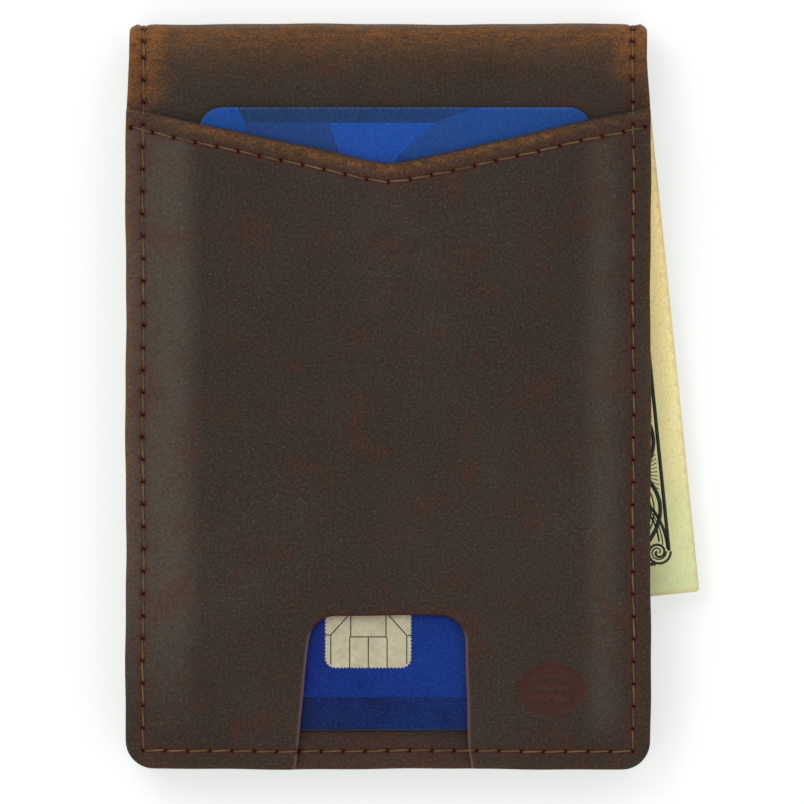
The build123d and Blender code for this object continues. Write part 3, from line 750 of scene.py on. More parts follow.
def stitch(first, last, height, place, turned):
    """One stitch from hole to hole: three plies twisted together, in and out of the leather."""
    stations, sides = 15, 15
    t = np.linspace(0, 1, stations)
    along = (last - first) / np.linalg.norm(last - first)
    side = np.array([-along[1], along[0]])
    centre = first + t[:, None] * (last - first) + side * (THREAD_LEAN * (1 - 2 * t))[:, None]
    base = height(centre[:, 0], centre[:, 1])
    base = np.maximum(base, 0.25 * np.roll(base, 1) + 0.5 * base + 0.25 * np.roll(base, -1))
    base[[0, -1]] = height(*np.stack([first, last], 1))
    up = base + THREAD_SINK + (THREAD_LIFT - THREAD_SINK) * np.sin(math.pi * t) ** 0.42
    round_angle = np.arange(sides) * 2 * math.pi / sides
    ply = round_angle[None] - 2 * math.pi * PLY_TURN * t[:, None] - turned
    radius = THREAD_RADIUS * (0.8 + 0.24 * np.abs(np.cos(1.5 * ply)))
    radius *= (1 - 0.25 * np.abs(2 * t - 1) ** 3)[:, None]
    over = radius * np.cos(round_angle)[None]
    x = (centre[:, 0, None] + side[0] * over).ravel()
    y = (centre[:, 1, None] + side[1] * over).ravel()
    z = (up[:, None] + radius * np.sin(round_angle)[None]).ravel()
    i, j = np.meshgrid(np.arange(stations - 1), np.arange(sides), indexing="ij")
    k = (j + 1) % sides
    quads = np.stack([i * sides + j, i * sides + k, (i + 1) * sides + k, (i + 1) * sides + j], -1)
    caps = [np.arange(sides)[::-1], np.arange(sides) + (stations - 1) * sides]
    # painted shade where the stitch's ends sink into the holes
    deep = np.repeat(np.clip(np.abs(2 * t - 1) ** 6 * 1.1, 0, 1), sides)
    return place(x, y, z), [*quads.reshape(-1, 4), *caps], np.stack([x, y, z], 1), deep


def sew(name, chains, height, place=flat_place, flipped=False, pull=None):
    """All the stitches of some chains as one piece."""
    points, faces, rest, dark, start = [], [], [], [], 0
    pairs = [pair for chain in chains for pair in zip(chain[:-1], chain[1:])]
    for number, (first, last) in enumerate(pairs):
        p, f, r, d = stitch(first, last, height, place, 1.7 * number)
        points.append(p)
        faces += [(face[::-1] if flipped else face) + start for face in f]
        rest.append(r)
        dark.append(d)
        start += len(p)
    rest = np.concatenate(rest)
    worn = pull(rest[:, 0], rest[:, 1]) if pull else np.zeros(len(rest))
    values = {"rest": rest, "dark": np.concatenate(dark), "pull": worn}
    obj = make_object(name, np.concatenate(points), faces, values, [THREAD])
    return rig.slot(obj, "stitch_thread")


# ---- Shell leather and lining, in three pieces that bend at the three hinge lines ----
CUT_S = [FOLD_Y + FOLD_ARC * i / STRIPS for i in range(1, STRIPS)]  # where one piece meets the next
SHELL_SEAMS = Seams(
    [*both_sides(BACK_HOLES), *both_sides(ARC_HOLES), *both_sides(FRONT_HOLES)]
    + [row(FREE_HOLES, SEAM_Y), row(FREE_HOLES, FRONT_HOLES[-1])]
)
BEND_BODIES = [("back_half", "fold_lower"), ("fold_lower", "fold_upper"), ("fold_upper", "front_half")]
BEND_REACH = 1.7  # how far a bend runs to each side of its hinge line
LINING_MARGIN = 0.25  # how far the lining stops short of the leather's edge


def bend(obj, number, depth):
    """Lets a piece turn smoothly at hinge line 0 to 2, at a depth below the outer face."""
    angle = math.pi * (number + 0.5) / STRIPS
    radius = FOLD_RADIUS - depth
    y, z = FOLD_Y + radius * math.sin(angle), FOLD_RADIUS - radius * math.cos(angle)
    step_y, step_z = BEND_REACH * math.cos(angle), BEND_REACH * math.sin(angle)
    first, last = (0, (y - step_y) * MM, (z - step_z) * MM), (0, (y + step_y) * MM, (z + step_z) * MM)
    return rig.blend(obj, *BEND_BODIES[number], start=first, end=last)


def across_cut(half, s):
    """Corners along a cut edge from -half to half, close together where the side rolls over."""
    steps = (0.0, 0.035, 0.1, 0.185, 0.28)
    left = [(-half + step, s, 0) for step in steps]
    return left + [(-x, s, 0) for x, _, _ in reversed(left)]


def shell_outline(number, margin=0.0, step=0.7):
    """Outline of laid-out shell piece 0, 1 or 2, drawn in by margin at its free sides."""
    half, fold_half = HALF - margin, FOLD_HALF - margin
    corner = CORNER - margin
    if number == 0:
        top = across_cut(fold_half, CUT_S[0])[::-1]
        corners = [(-half, FREE_Y + margin, corner), (half, FREE_Y + margin, corner), (half, TAPER_Y, 0)]
        corners += [(fold_half, FOLD_Y, 0), *top, (-fold_half, FOLD_Y, 0), (-half, TAPER_Y, 0)]
    elif number == 1:
        corners = across_cut(fold_half, CUT_S[0]) + across_cut(fold_half, CUT_S[1])[::-1]
    else:
        end, taper = END_S - margin, FRONT_S + FOLD_Y - TAPER_Y
        corners = across_cut(fold_half, CUT_S[1])
        corners += [(fold_half, FRONT_S, 0), (half, taper, 0), (half, end, corner)]
        corners += [(-half, end, corner), (-half, taper, 0), (-fold_half, FRONT_S, 0)]
    return rounded(corners, step)


def shell_pull_and_sheen(x, s):
    """How far the shell leather has turned orange; on the fold this is partly a painted highlight."""
    turn = np.clip((s - FOLD_Y) / FOLD_RADIUS, 0, math.pi)
    y = np.where(s > FRONT_S, FOLD_Y + FRONT_S - s, np.minimum(s, FOLD_Y) + FOLD_RADIUS * np.sin(turn))
    # fold: pull-up orange with a painted highlight on the upper curve of the fold
    fold = np.minimum(0.62 * np.exp(-(((TIP_Y - y) / 3.0) ** 1.5)), 0.46) + 0.04 * smooth((y - 40) / 8)
    side = (0.24 + 0.2 * smooth(-x)) * near(np.abs(x), HALF, 1.0) * smooth((y + 40) / 60)
    foot = 0.1 * near(s, END_S, 1.6) * (np.abs(x + 1) < 14)
    corner = 0.5 * near(x, -33.8, 2.8) * smooth((y - 38) / 4)
    corner += 0.42 * near(x, 33.6, 2.2) * smooth((y - 41) / 5)
    return np.clip(fold + side + corner + foot, 0, 1.2)


def shell_wear(x, s, edge):
    # painted shade where the shell lies in the notch's recess
    in_notch = 0.07 * (np.abs(x) < 12) * smooth((s - FRONT_S - 60) / 5)
    return {"pull": shell_pull_and_sheen(x, s), "dark": SHELL_SEAMS.dark(x, s) + in_notch}


shell_pieces = []
for number, place_name in enumerate(("back", "middle", "front")):
    cuts = CUT_S[max(0, number - 1) : number + 1]
    piece = sheet_mesh(
        f"shell_leather_{place_name}", [shell_outline(number)], -SKIN, 0.0, place=fold_place, flipped=True,
        step=1.0, cuts=cuts, top=SHELL_SEAMS.relief, extra=SHELL_SEAMS.points(), wear=shell_wear,
    )
    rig.slot(piece, "shell_leather")
    lining = sheet_mesh(
        f"shield_lining_{place_name}", [shell_outline(number, margin=LINING_MARGIN, step=1.2)],
        -SKIN - LINING, -SKIN, place=fold_place, flipped=True, step=1.6, roll=0.1, cuts=cuts,
        materials=(LINING_CLOTH,),
    )
    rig.slot(lining, "shield_lining")
    shell_pieces += [bend(piece, number, SKIN / 2), bend(lining, number, SKIN + LINING / 2)]

for lining, leather, carried, length in (
    (shell_pieces[1], "shell_leather_back", [shell_pieces[3]], CUT_S[0] - FREE_Y),
    (shell_pieces[5], "shell_leather_front", [], END_S - CUT_S[1]),
):
    lining_size = (2 * (HALF - LINING_MARGIN) * MM, (length - LINING_MARGIN) * MM)
    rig.sheet(lining, flat=lining_size, held="laid", rests_on=[leather], with_pieces=carried)

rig.replaces(shell_pieces[0], "shell_back")
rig.replaces(shell_pieces[1], "shield_back")
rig.replaces(shell_pieces[2], "shell_fold_lower", "shell_fold_upper")
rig.replaces(shell_pieces[3], "shield_fold_lower", "shield_fold_upper")
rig.replaces(shell_pieces[4], "shell_front")
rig.replaces(shell_pieces[5], "shield_front")


def skin_height(x, s):
    """The shell's outer face under a stitch, without the dents."""
    return np.full(len(x), -CHANNEL)


back_thread = sew(
    "thread_back_face",
    [*both_sides(np.concatenate([BACK_HOLES, ARC_HOLES[1:3]])), row(FREE_HOLES, SEAM_Y)],
    skin_height, fold_place, flipped=True, pull=shell_pull_and_sheen,
)
bend(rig.replaces(back_thread, "stitching_back_face"), 0, SKIN / 2)
fold_thread = sew(
    "thread_fold", both_sides(ARC_HOLES[2:5]), skin_height, fold_place, flipped=True, pull=shell_pull_and_sheen
)
bend(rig.replaces(fold_thread, "stitching_fold_lower", "stitching_fold_upper"), 1, SKIN / 2)


# ---- Quick-access pocket on the front ----
MOUTH_SLOPE = MOUTH_DROP / HALF
MOUTH_ANGLE = math.atan(MOUTH_SLOPE)
MOUTH_BEND_X = MOUTH_RADIUS * math.sin(MOUTH_ANGLE)


def mouth_y(x):
    """The V-cut edge: two straight sides and a rounded point."""
    x = np.abs(x)
    point_y = MOUTH_SIDE_Y - MOUTH_DROP
    centre_y = point_y + MOUTH_RADIUS / math.cos(MOUTH_ANGLE)
    curve = centre_y - np.sqrt(np.maximum(MOUTH_RADIUS**2 - x**2, 0))
    return np.where(x < MOUTH_BEND_X, curve, point_y + MOUTH_SLOPE * x)


def mouth_seam_holes():
    """Holes a little below the V-cut edge, from side to side."""
    x = np.linspace(-MOUTH_SEAM_HALF, MOUTH_SEAM_HALF, 400)
    path = np.stack([x, mouth_y(x) - MOUTH_SEAM / math.cos(MOUTH_ANGLE)], 1)
    run = np.concatenate([[0], np.cumsum(np.linalg.norm(np.diff(path, axis=0), axis=1))])
    at = np.linspace(0, run[-1], round(run[-1] / MOUTH_PITCH) + 1)
    return np.stack([np.interp(at, run, path[:, 0]), np.interp(at, run, path[:, 1])], 1)


MOUTH_HOLES = mouth_seam_holes()
POCKET_SEAMS = Seams(
    [*both_sides(BACK_HOLES[BACK_HOLES < MOUTH_SIDE_Y - 1]), row(FREE_HOLES, SEAM_Y), MOUTH_HOLES]
)
RISE_LEFT, RISE_RIGHT, RISE_FOOT = -32.9, 33.3, -48.1  # where the pocket begins to rise over the card
SHEEN_X = 29.6  # painted highlight along the card's sides, where the pocket rises over them
STAMP = (22.5, -40.2, 4.7, 3.6)  # centre and half sizes of the pressed oval
STAMP_RIB = 1.35  # from rib to rib inside it
STAMP_DEPTH = 0.3


def pocket_outline(step=0.6):
    foot, top = NOTCH_FOOT, NOTCH_TOP
    return rounded(
        [
            (-HALF, FREE_Y, CORNER), (foot[0], FREE_Y, 0.6), (foot[0] + NOTCH_EASE, SEAM_Y, 2.0),
            (top[0], NOTCH_TOP_Y, NOTCH_RADIUS), (top[1], NOTCH_TOP_Y, NOTCH_RADIUS),
            (foot[1] - NOTCH_EASE, SEAM_Y, 2.0), (foot[1], FREE_Y, 0.6), (HALF, FREE_Y, CORNER),
            (HALF, MOUTH_SIDE_Y, 0.5), (0, MOUTH_SIDE_Y - MOUTH_DROP, MOUTH_RADIUS),
            (-HALF, MOUTH_SIDE_Y, 0.5),
        ],
        step,
    )


def card_rise(x, y):
    """How far the pocket stands up over the card behind it."""
    sides = smooth((x - RISE_LEFT) / 6.3) * smooth((RISE_RIGHT - x) / 5.0)
    sag = 1 - 0.05 * np.sin(0.12 * x + 0.6) * np.sin(0.09 * y)
    return POCKET_RISE * sides * smooth((y - RISE_FOOT) / 2.6) * sag


def stamp_places(x, y):
    """How far out points lie in the pressed oval, whose edge is at 1, and how high they are on its ribs."""
    out = np.sqrt(((x - STAMP[0]) / STAMP[2]) ** 2 + ((y - STAMP[1]) / STAMP[3]) ** 2)
    ribs = smooth((0.74 - out) * 7) * (0.5 + 0.5 * np.cos(2 * math.pi * (y - STAMP[1]) / STAMP_RIB))
    return out, ribs


def notch_edge(x, y):
    """Distance to the notch's cut edge."""
    loop = pocket_outline()
    in_notch = (loop[:, 0] > NOTCH_FOOT[0] - 0.1) & (loop[:, 0] < NOTCH_FOOT[1] + 0.1)
    path = loop[in_notch & (loop[:, 1] < NOTCH_TOP_Y + 0.1)]
    return distance(np.stack([x, y], 1), *segments(path, closed=False))


def pocket_top(x, y):
    lip = 0.16 * near(mouth_y(x) - y, 1.0, 0.7)  # the bound edge stands proud above its seam
    bow = 0.1 * near(notch_edge(x, y), 0.0, 1.6)
    out, ribs = stamp_places(x, y)
    stamp = -STAMP_DEPTH * smooth((1.0 - out) * 7) * (1 - 0.6 * ribs)
    return card_rise(x, y) + POCKET_SEAMS.relief(x, y) + stamp + lip + bow


def pocket_pull_and_sheen(x, y):
    below = mouth_y(x) - y
    reach = 0.35 + 0.65 * smooth((x + 32) / 8) * smooth((29 - x) / 8)
    # mouth: pull-up orange with a painted highlight on the lip's rounded edge
    mouth = 0.5 * reach * near(below, 0.75, 0.5) + 0.14 * reach * near(below, 1.6, 0.6)
    side = (0.1 + 0.22 * smooth(-x)) * near(np.abs(x), HALF, 0.9) * smooth((y + 45) / 40)
    foot = 0.07 * near(y, FREE_Y, 0.9)
    return np.clip(mouth + side + foot, 0, 1.1)


def pocket_wear(x, y, edge):
    out, ribs = stamp_places(x, y)
    # the stamp's own darker tone, with painted shade between its ribs and round its wall
    pressed_shade = smooth((1.03 - out) * 8) * (0.42 - 0.2 * ribs) + 0.3 * near(out, 0.96, 0.05)
    trimmed = np.clip(1.5 - notch_edge(x, y) / 0.32, 0, 1)
    # painted shadow under the notch's top edge
    under_top = smooth((y - NOTCH_TOP_Y + 3.2) / 2.4)
    shaded = 0.95 * trimmed**2 * under_top
    # painted highlight on the pocket's slopes along the card's sides, strongest on the left, fading below the mouth
    left = 0.66 * (1 - smooth((x + SHEEN_X) / 4.6)) * smooth((y + 50) / 26)
    sheen = left + 0.42 * near(x, SHEEN_X, 2.2) * smooth((y + 49) / 6)
    return {
        "pull": pocket_pull_and_sheen(x, y),
        "dark": np.clip(POCKET_SEAMS.dark(x, y) + pressed_shade + shaded, 0, 1.1),
        "rim": trimmed * (1 - 0.8 * under_top),
        "rub": sheen * (1 - 0.8 * smooth((y - mouth_y(x) + 3.4) / 1.6)),
    }


stamp_middle, stamp_reach = np.array(STAMP[:2]), np.array(STAMP[2:]) + 0.5
pocket = sheet_mesh(
    "pocket_leather", [pocket_outline()], FACE_Z, POCKET_FACE, step=0.75, roll=0.36, top=pocket_top,
    bottom=card_rise, wear=pocket_wear,
    extra=[*POCKET_SEAMS.points(), hex_grid(stamp_middle - stamp_reach, stamp_middle + stamp_reach, 0.2)],
)
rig.ride(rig.slot(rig.replaces(pocket, "front_pocket"), "shell_leather"), "front_half")

POCKET_LOOP = pocket_outline(1.5)


def front_height(x, y):
    """The front's uppermost leather at flat points, without the dents."""
    on_pocket = inside(np.stack([x, y], 1), [POCKET_LOOP])
    return np.where(on_pocket, POCKET_FACE + card_rise(x, y), FACE_Z) - CHANNEL


def front_height_laid(x, s):
    """The same, over the shell's outer face and for laid-out points."""
    y = FRONT_S + FOLD_Y - s
    return np.where(s > FRONT_S, front_height(x, y), FACE_Z - CHANNEL) - FACE_Z


def front_pull_and_sheen_laid(x, s):
    y = FRONT_S + FOLD_Y - s
    return np.where(y < MOUTH_SIDE_Y, pocket_pull_and_sheen(x, y), shell_pull_and_sheen(x, s))


front_thread = sew(
    "thread_front_face",
    [*both_sides(np.concatenate([ARC_HOLES[4:-1], FRONT_HOLES])), row(FREE_HOLES, FRONT_HOLES[-1])],
    front_height_laid, fold_place, flipped=True, pull=front_pull_and_sheen_laid,
)
bend(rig.replaces(front_thread, "stitching_front_face"), 2, SKIN / 2)
mouth_thread = sew("thread_pocket_mouth", [MOUTH_HOLES], front_height, pull=pocket_pull_and_sheen)
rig.ride(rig.replaces(mouth_thread, "stitching_pocket_mouth"), "front_half")


# ---- Inner panels, card slots, ID window frame and clip patch ----
def half_outline(top_y, dip):
    """Outline of a panel: rounded at the free edge; its top is straight, or dips to a rounded V."""
    side = HALF if top_y <= TAPER_Y else HALF - (HALF - FOLD_HALF) * (top_y - TAPER_Y) / (FOLD_Y - TAPER_Y)
    corners = [(-HALF, FREE_Y, CORNER), (HALF, FREE_Y, CORNER)]
    if top_y > TAPER_Y:
        corners.append((HALF, TAPER_Y, 0))
    corners.append((side, top_y, 0.5))
    if dip:
        corners.append((0, top_y - dip, MOUTH_RADIUS))
    corners.append((-side, top_y, 0.5))
    if top_y > TAPER_Y:
        corners.append((-HALF, TAPER_Y, 0))
    return rounded(corners, 0.8)


def panel(name, node, body, loops, chains):
    """One inner leather panel in the place of a CAD node, sewn on the face that shows."""
    low, high = extent(node)
    seams = Seams(chains)
    relief = {"top": seams.relief} if body == "back_half" else {"bottom": lambda x, y: -seams.relief(x, y)}

    def wear(x, y, edge):
        return {"pull": 0.5 * near(edge, 0.3, 0.8), "dark": seams.dark(x, y)}

    obj = sheet_mesh(
        name, loops, low[2], high[2], step=1.5, roll=0.24, extra=seams.points(), wear=wear,
        materials=(INNER_LEATHER,), **relief,
    )
    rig.ride(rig.slot(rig.replaces(obj, node), "panel_leather"), body)


PANEL_TOP = extent("back_inner_panel")[1][1]
DEEP_TOP = extent("deep_card_slot")[1][1]
SHALLOW_TOP = extent("shallow_card_slot")[1][1]
FRAME_TOP = extent("id_window_frame")[1][1]
SLOT_DIP = 5.0
SEAM_END = 1.5  # a side seam stops this far below the top of its panel
ID_WINDOW = np.array((45.0, 72.0))
ID_WINDOW_MIDDLE = np.array((0.0, -8.0))
THUMB_RADIUS = 9.0


def frame_outline():
    """The ID frame's outline, with a thumb cut in its top edge."""
    centre_y = FRAME_TOP + THUMB_RADIUS / 2
    reach = math.acos((FRAME_TOP - centre_y) / -THUMB_RADIUS)
    turns = np.linspace(-reach, reach, 24)
    cut = [(THUMB_RADIUS * math.sin(t), centre_y - THUMB_RADIUS * math.cos(t), 0) for t in turns]
    corners = [(-HALF, FREE_Y, CORNER), (HALF, FREE_Y, CORNER), (HALF, FRAME_TOP, 0.5)]
    return rounded([*corners, *cut[::-1], (-HALF, FRAME_TOP, 0.5)], 0.8)


free_row = row(FREE_HOLES, SEAM_Y)
shallow_holes = even(SEAM_Y, SHALLOW_TOP - SEAM_END)
deep_holes = even(SHALLOW_TOP - SEAM_END, DEEP_TOP - SEAM_END)
back_holes = even(DEEP_TOP - SEAM_END, PANEL_TOP - SEAM_END)
frame_holes = even(SEAM_Y, FRAME_TOP - SEAM_END)
front_holes = even(FRAME_TOP - SEAM_END, PANEL_TOP - SEAM_END)
window = rounded_box(ID_WINDOW_MIDDLE - ID_WINDOW / 2, ID_WINDOW_MIDDLE + ID_WINDOW / 2, 4.0, 0.8)

panel_outline, deep_outline, shallow_outline = (
    half_outline(top_y, dip) for top_y, dip in ((PANEL_TOP, 0), (DEEP_TOP, SLOT_DIP), (SHALLOW_TOP, SLOT_DIP))
)
panel("lining_panel_back", "back_inner_panel", "back_half", [panel_outline], both_sides(back_holes))
panel("card_slot_deep", "deep_card_slot", "back_half", [deep_outline], both_sides(deep_holes))
shallow_seams = [*both_sides(shallow_holes), free_row]
panel("card_slot_shallow", "shallow_card_slot", "back_half", [shallow_outline], shallow_seams)
panel("lining_panel_front", "front_inner_panel", "front_half", [panel_outline], both_sides(front_holes))
frame_seams = [*both_sides(frame_holes), free_row]
panel("id_frame_leather", "id_window_frame", "front_half", [frame_outline(), window], frame_seams)

PATCH_LOW, PATCH_HIGH = extent("clip_patch")
patch_outline = rounded_box(PATCH_LOW, PATCH_HIGH, 1.9, 0.7)
patch = sheet_mesh(
    "clip_patch_leather", [patch_outline], PATCH_LOW[2], PATCH_HIGH[2], step=1.2, roll=0.18,
    materials=(INNER_LEATHER,), wear=lambda x, y, edge: {"pull": 0.6 * near(edge, 0.2, 0.6)},
)
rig.ride(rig.slot(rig.replaces(patch, "clip_patch"), "panel_leather"), "back_half")


def face_down(x, y, up):
    """Places points that were laid out above a downward face: up is measured down from z = 0."""
    return straight_place(*wander(x, y), -up)


def step_height(levels):
    """Height function for thread on stacked slots: the level of the highest one that reaches y."""

    def height(x, y):
        z = np.full(len(x), levels[-1][1])
        for top_y, level in reversed(levels):
            z = np.where(y < top_y, level, z)
        return z - CHANNEL

    return height


LEVEL_END = 0.8  # thread drops to the next level this far below a top edge
PAST_TOP = 5.0
slot_levels = [
    (SHALLOW_TOP - LEVEL_END, extent("shallow_card_slot")[1][2]),
    (DEEP_TOP - LEVEL_END, extent("deep_card_slot")[1][2]),
    (PANEL_TOP + PAST_TOP, extent("back_inner_panel")[1][2]),
]
slot_holes = np.concatenate([shallow_holes, deep_holes[1:], back_holes[1:]])
slot_thread = sew("thread_card_slots", [*both_sides(slot_holes), free_row], step_height(slot_levels))
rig.ride(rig.replaces(slot_thread, "stitching_card_slots"), "back_half")

id_levels = [
    (FRAME_TOP - LEVEL_END, -extent("id_window_frame")[0][2]),
    (PANEL_TOP + PAST_TOP, -extent("front_inner_panel")[0][2]),
]
id_holes = np.concatenate([frame_holes, front_holes[1:]])
id_thread = sew(
    "thread_id_window", [*both_sides(id_holes), free_row], step_height(id_levels), face_down, flipped=True
)
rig.ride(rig.replaces(id_thread, "stitching_id_window"), "front_half")

# ---- Payment card ----
CARD_LOW, CARD_HIGH = extent("payment_card")
CARD_CORNER = 3.18
CARD_BLUES = [
    card_material(name, shown(*colour))
    for name, colour in (
        ("card_royal", (16, 45, 110)),
        ("card_corner", (37, 74, 142)),
        ("card_band", (41, 58, 88)),
        ("card_middle", (43, 66, 115)),
        ("card_bright", (41, 76, 152)),
        ("card_right", (41, 70, 122)),
        ("card_wedge", (34, 60, 116)),
        ("card_foot", (17, 35, 66)),
    )
]
# The printed facets: which blue, then corners. They run past the card's edge, which trims them.
APEX, LEFT_HUB, HEART, LOW_HUB = (-19.65, 37.6), (-22.0, 20.0), (-3.0, 22.0), (-12.0, -6.0)
BAND_BREAK, BAND_RIGHT, NOSE = (-8.1, 37.6), (6.4, 37.6), (1.5, 33.3)
CARD_FACETS = (
    (1, [(-28, 41.0), (-21.6, 41.0), APEX, LEFT_HUB, (-28, 13.0)]),
    (2, [(-21.6, 41.0), APEX, BAND_BREAK, BAND_RIGHT, (15.0, 41.0)]),
    (3, [APEX, BAND_BREAK, HEART, LEFT_HUB]),
    (4, [BAND_BREAK, BAND_RIGHT, NOSE, HEART]),
    (5, [BAND_RIGHT, (15.0, 41.0), (30, 41.0), (30, 24.0), NOSE]),
    (6, [NOSE, (30, 24.0), (30, 8.0), HEART]),
    (4, [(-28, 13.0), LEFT_HUB, HEART, LOW_HUB, (-28, -14.0)]),
    (3, [HEART, (30, 8.0), (30, -16.0), LOW_HUB]),
    (7, [(-28, -41.4), (30, -41.4), (30, -47.0), (-28, -47.0)]),
)


def card_facet(points):
    """The blue of the printed facet that each point belongs to."""
    kind = np.zeros(len(points), int)
    for blue, corners in CARD_FACETS:
        kind[inside(points, [np.array(corners, float)])] = blue
    return kind


card_outline = rounded_box(CARD_LOW, CARD_HIGH, CARD_CORNER, 0.8)
card_lines = []
for _, corners in CARD_FACETS:
    for edge_ends in zip(corners, corners[1:] + corners[:1]):
        if set(edge_ends) not in [set(done) for done in card_lines]:
            card_lines.append(edge_ends)
card = sheet_mesh(
    "payment_card_print", [card_outline], CARD_LOW[2], CARD_HIGH[2], place=straight_place, step=0.55,
    roll=0.09, lines=[straight(*ends, 1.0) for ends in card_lines], materials=CARD_BLUES, index=card_facet,
)
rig.ride(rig.slot(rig.replaces(card, "payment_card"), "card_plastic"), "payment_card")

CHIP_LOW, CHIP_HIGH = extent("card_chip")
CHIP_MIDDLE = (CHIP_LOW[:2] + CHIP_HIGH[:2]) / 2


def chip_material():
    m = Shader("chip_gold")
    worn = m.noise(0.7, 4.0, 0.7)
    fine = m.noise(6.0, 2.0, 0.6)
    colour = m.mix(m.fit(worn, 0.3, 0.7), shown(196, 187, 158), shown(166, 156, 128))
    colour = m.tint(colour, fine, 0.5, 0.75, 0.3, shown(118, 110, 88))
    return m.done(colour, m.fit(worn, 0.3, 0.7, 0.4, 0.55), m.bump(fine, 0.004, 0.5), 0.25)


def groove_material():
    m = Shader("chip_groove")
    colour = m.mix(m.noise(3.0), linear(34, 36, 34), linear(60, 58, 50))
    return m.done(colour, 0.6, None, 0.2)


CHIP_PROUD = 0.02
CHIP_DEPTH = 0.1
chip_outline = rounded_box(CHIP_LOW, CHIP_HIGH, 1.4, 0.25)
chip = sheet_mesh(
    "card_chip_contacts", [chip_outline], CHIP_HIGH[2] - CHIP_DEPTH, CHIP_HIGH[2] + CHIP_PROUD,
    place=straight_place, step=0.5, roll=0.03, materials=(chip_material(),),
)
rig.ride(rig.slot(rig.replaces(chip, "card_chip"), "chip_contacts"), "payment_card")

LINE_THICKNESS = 0.012


def ribbon(path, width, z, place):
    """A thin raised line along a path: its points and faces."""
    side = to_left(np.gradient(path, axis=0)) * width / 2
    left, right = path + side, path - side
    n = len(path)
    sides = ((left, z), (right, z), (right, z - LINE_THICKNESS), (left, z - LINE_THICKNESS))
    points = np.concatenate([place(p[:, 0], p[:, 1], np.full(n, up)) for p, up in sides])
    i = np.arange(n - 1)
    pairs = ((0, 1), (1, 2), (2, 3), (3, 0))
    faces = [np.stack([i + a * n, i + b * n, i + 1 + b * n, i + 1 + a * n], 1) for a, b in pairs]
    ends = np.array([[0, 3 * n, 2 * n, n], [n - 1, 2 * n - 1, 3 * n - 1, 4 * n - 1]])
    return points, np.concatenate([*faces, ends])


def line_work(name, strokes, z, place, material, flipped=False):
    """Many thin lines as one piece; strokes are (path, width)."""
    points, faces, start = [], [], 0
    for path, width in strokes:
        p, f = ribbon(path, width, z, place)
        points.append(p)
        faces.append((f[:, ::-1] if flipped else f) + start)
        start += len(p)
    points = np.concatenate(points)
    return make_object(name, points, np.concatenate(faces), {"rest": points}, [material])


def chip_strokes():
    """The gaps between the chip's contacts, and the punched marks round its edge."""
    half_wide, half_tall = (CHIP_HIGH[:2] - CHIP_LOW[:2]) / 2
    mirrored = [
        [(-2.4, -2.2), (-2.55, -2.35), (-2.55, -half_tall)],
        [(0.02, -2.2), (0.02, -half_tall)],
        [(2.45, -2.2), (2.6, -2.35), (2.6, -half_tall)],
        [(-2.4, -2.2), (2.45, -2.2)],
        [(-half_wide, -1.95), (-5.15, -1.95), (-5.15, -half_tall + 0.5)],
        [(half_wide, -2.0), (5.3, -2.0), (5.3, -half_tall + 0.6)],
    ]
    lines = mirrored + [[(x, -y) for x, y in line] for line in mirrored]
    lines += [[(-2.4, -2.2), (-2.4, 2.2)], [(2.45, -2.2), (2.45, 2.2)]]
    lines += [[(-5.15, -1.95), (-2.4, 1.1)], [(5.3, -2.0), (2.45, 1.2)]]
    strokes = [(dense(np.array(line) + CHIP_MIDDLE, 0.3, closed=False), 0.16) for line in lines]
    edge = dense(inset(counter_clockwise(chip_outline), 0.06), 0.2)
    for i in range(0, len(edge) - 2, 4):
        strokes.append((edge[i : i + 3], 0.1))
    return strokes


chip_lines = line_work(
    "card_chip_gaps", chip_strokes(), CHIP_HIGH[2] + CHIP_PROUD + 0.006, straight_place, groove_material()
)
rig.ride(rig.slot(chip_lines, "chip_contacts"), "payment_card")

# ---- Banknote, folded in half ----
NOTE_LOW, NOTE_HIGH = extent("banknote")
NOTE_TILT = math.radians(5.8)
NOTE_WIDTH, NOTE_HALF = 66.3, 73.0
NOTE_PAPER = 0.1
NOTE_ALONG = np.array([math.sin(NOTE_TILT), -math.cos(NOTE_TILT)])  # from the crease to the free end
NOTE_ACROSS = np.array([math.cos(NOTE_TILT), math.sin(NOTE_TILT)])
NOTE_CORNER = np.array([42.9, -26.9])
NOTE_CREASE = 0.14  # radius of the fold, to the middle of the paper
NOTE_MIDDLE_Z = (NOTE_LOW[2] + NOTE_HIGH[2]) / 2
CURL_WIDTH, CURL_LENGTH, CURL_DROP = 16.0, 76.0, 0.9  # how its free corner hangs


def note_place(inward, from_end, up):
    """inward is from the right edge, from_end along the paper from the upper leaf's free end."""
    flat = NOTE_HALF - NOTE_CREASE
    angle = np.clip((from_end - flat) / NOTE_CREASE, 0, math.pi)
    under = np.maximum(from_end - flat - math.pi * NOTE_CREASE, 0)
    radius = NOTE_CREASE + up
    along = np.minimum(from_end, flat) + radius * np.sin(angle) - under
    z = NOTE_MIDDLE_Z + radius * np.cos(angle)
    outside = np.clip((CURL_WIDTH - inward) / CURL_WIDTH, 0, 1) * (1 - smooth(along / CURL_LENGTH))
    z = z - CURL_DROP * outside**1.6 + 0.10 * outside * np.sin(0.23 * from_end + 0.4 * inward)
    flatwise = NOTE_CORNER[None] - along[:, None] * NOTE_ALONG - inward[:, None] * NOTE_ACROSS
    return np.stack([flatwise[:, 0], flatwise[:, 1], z], 1)


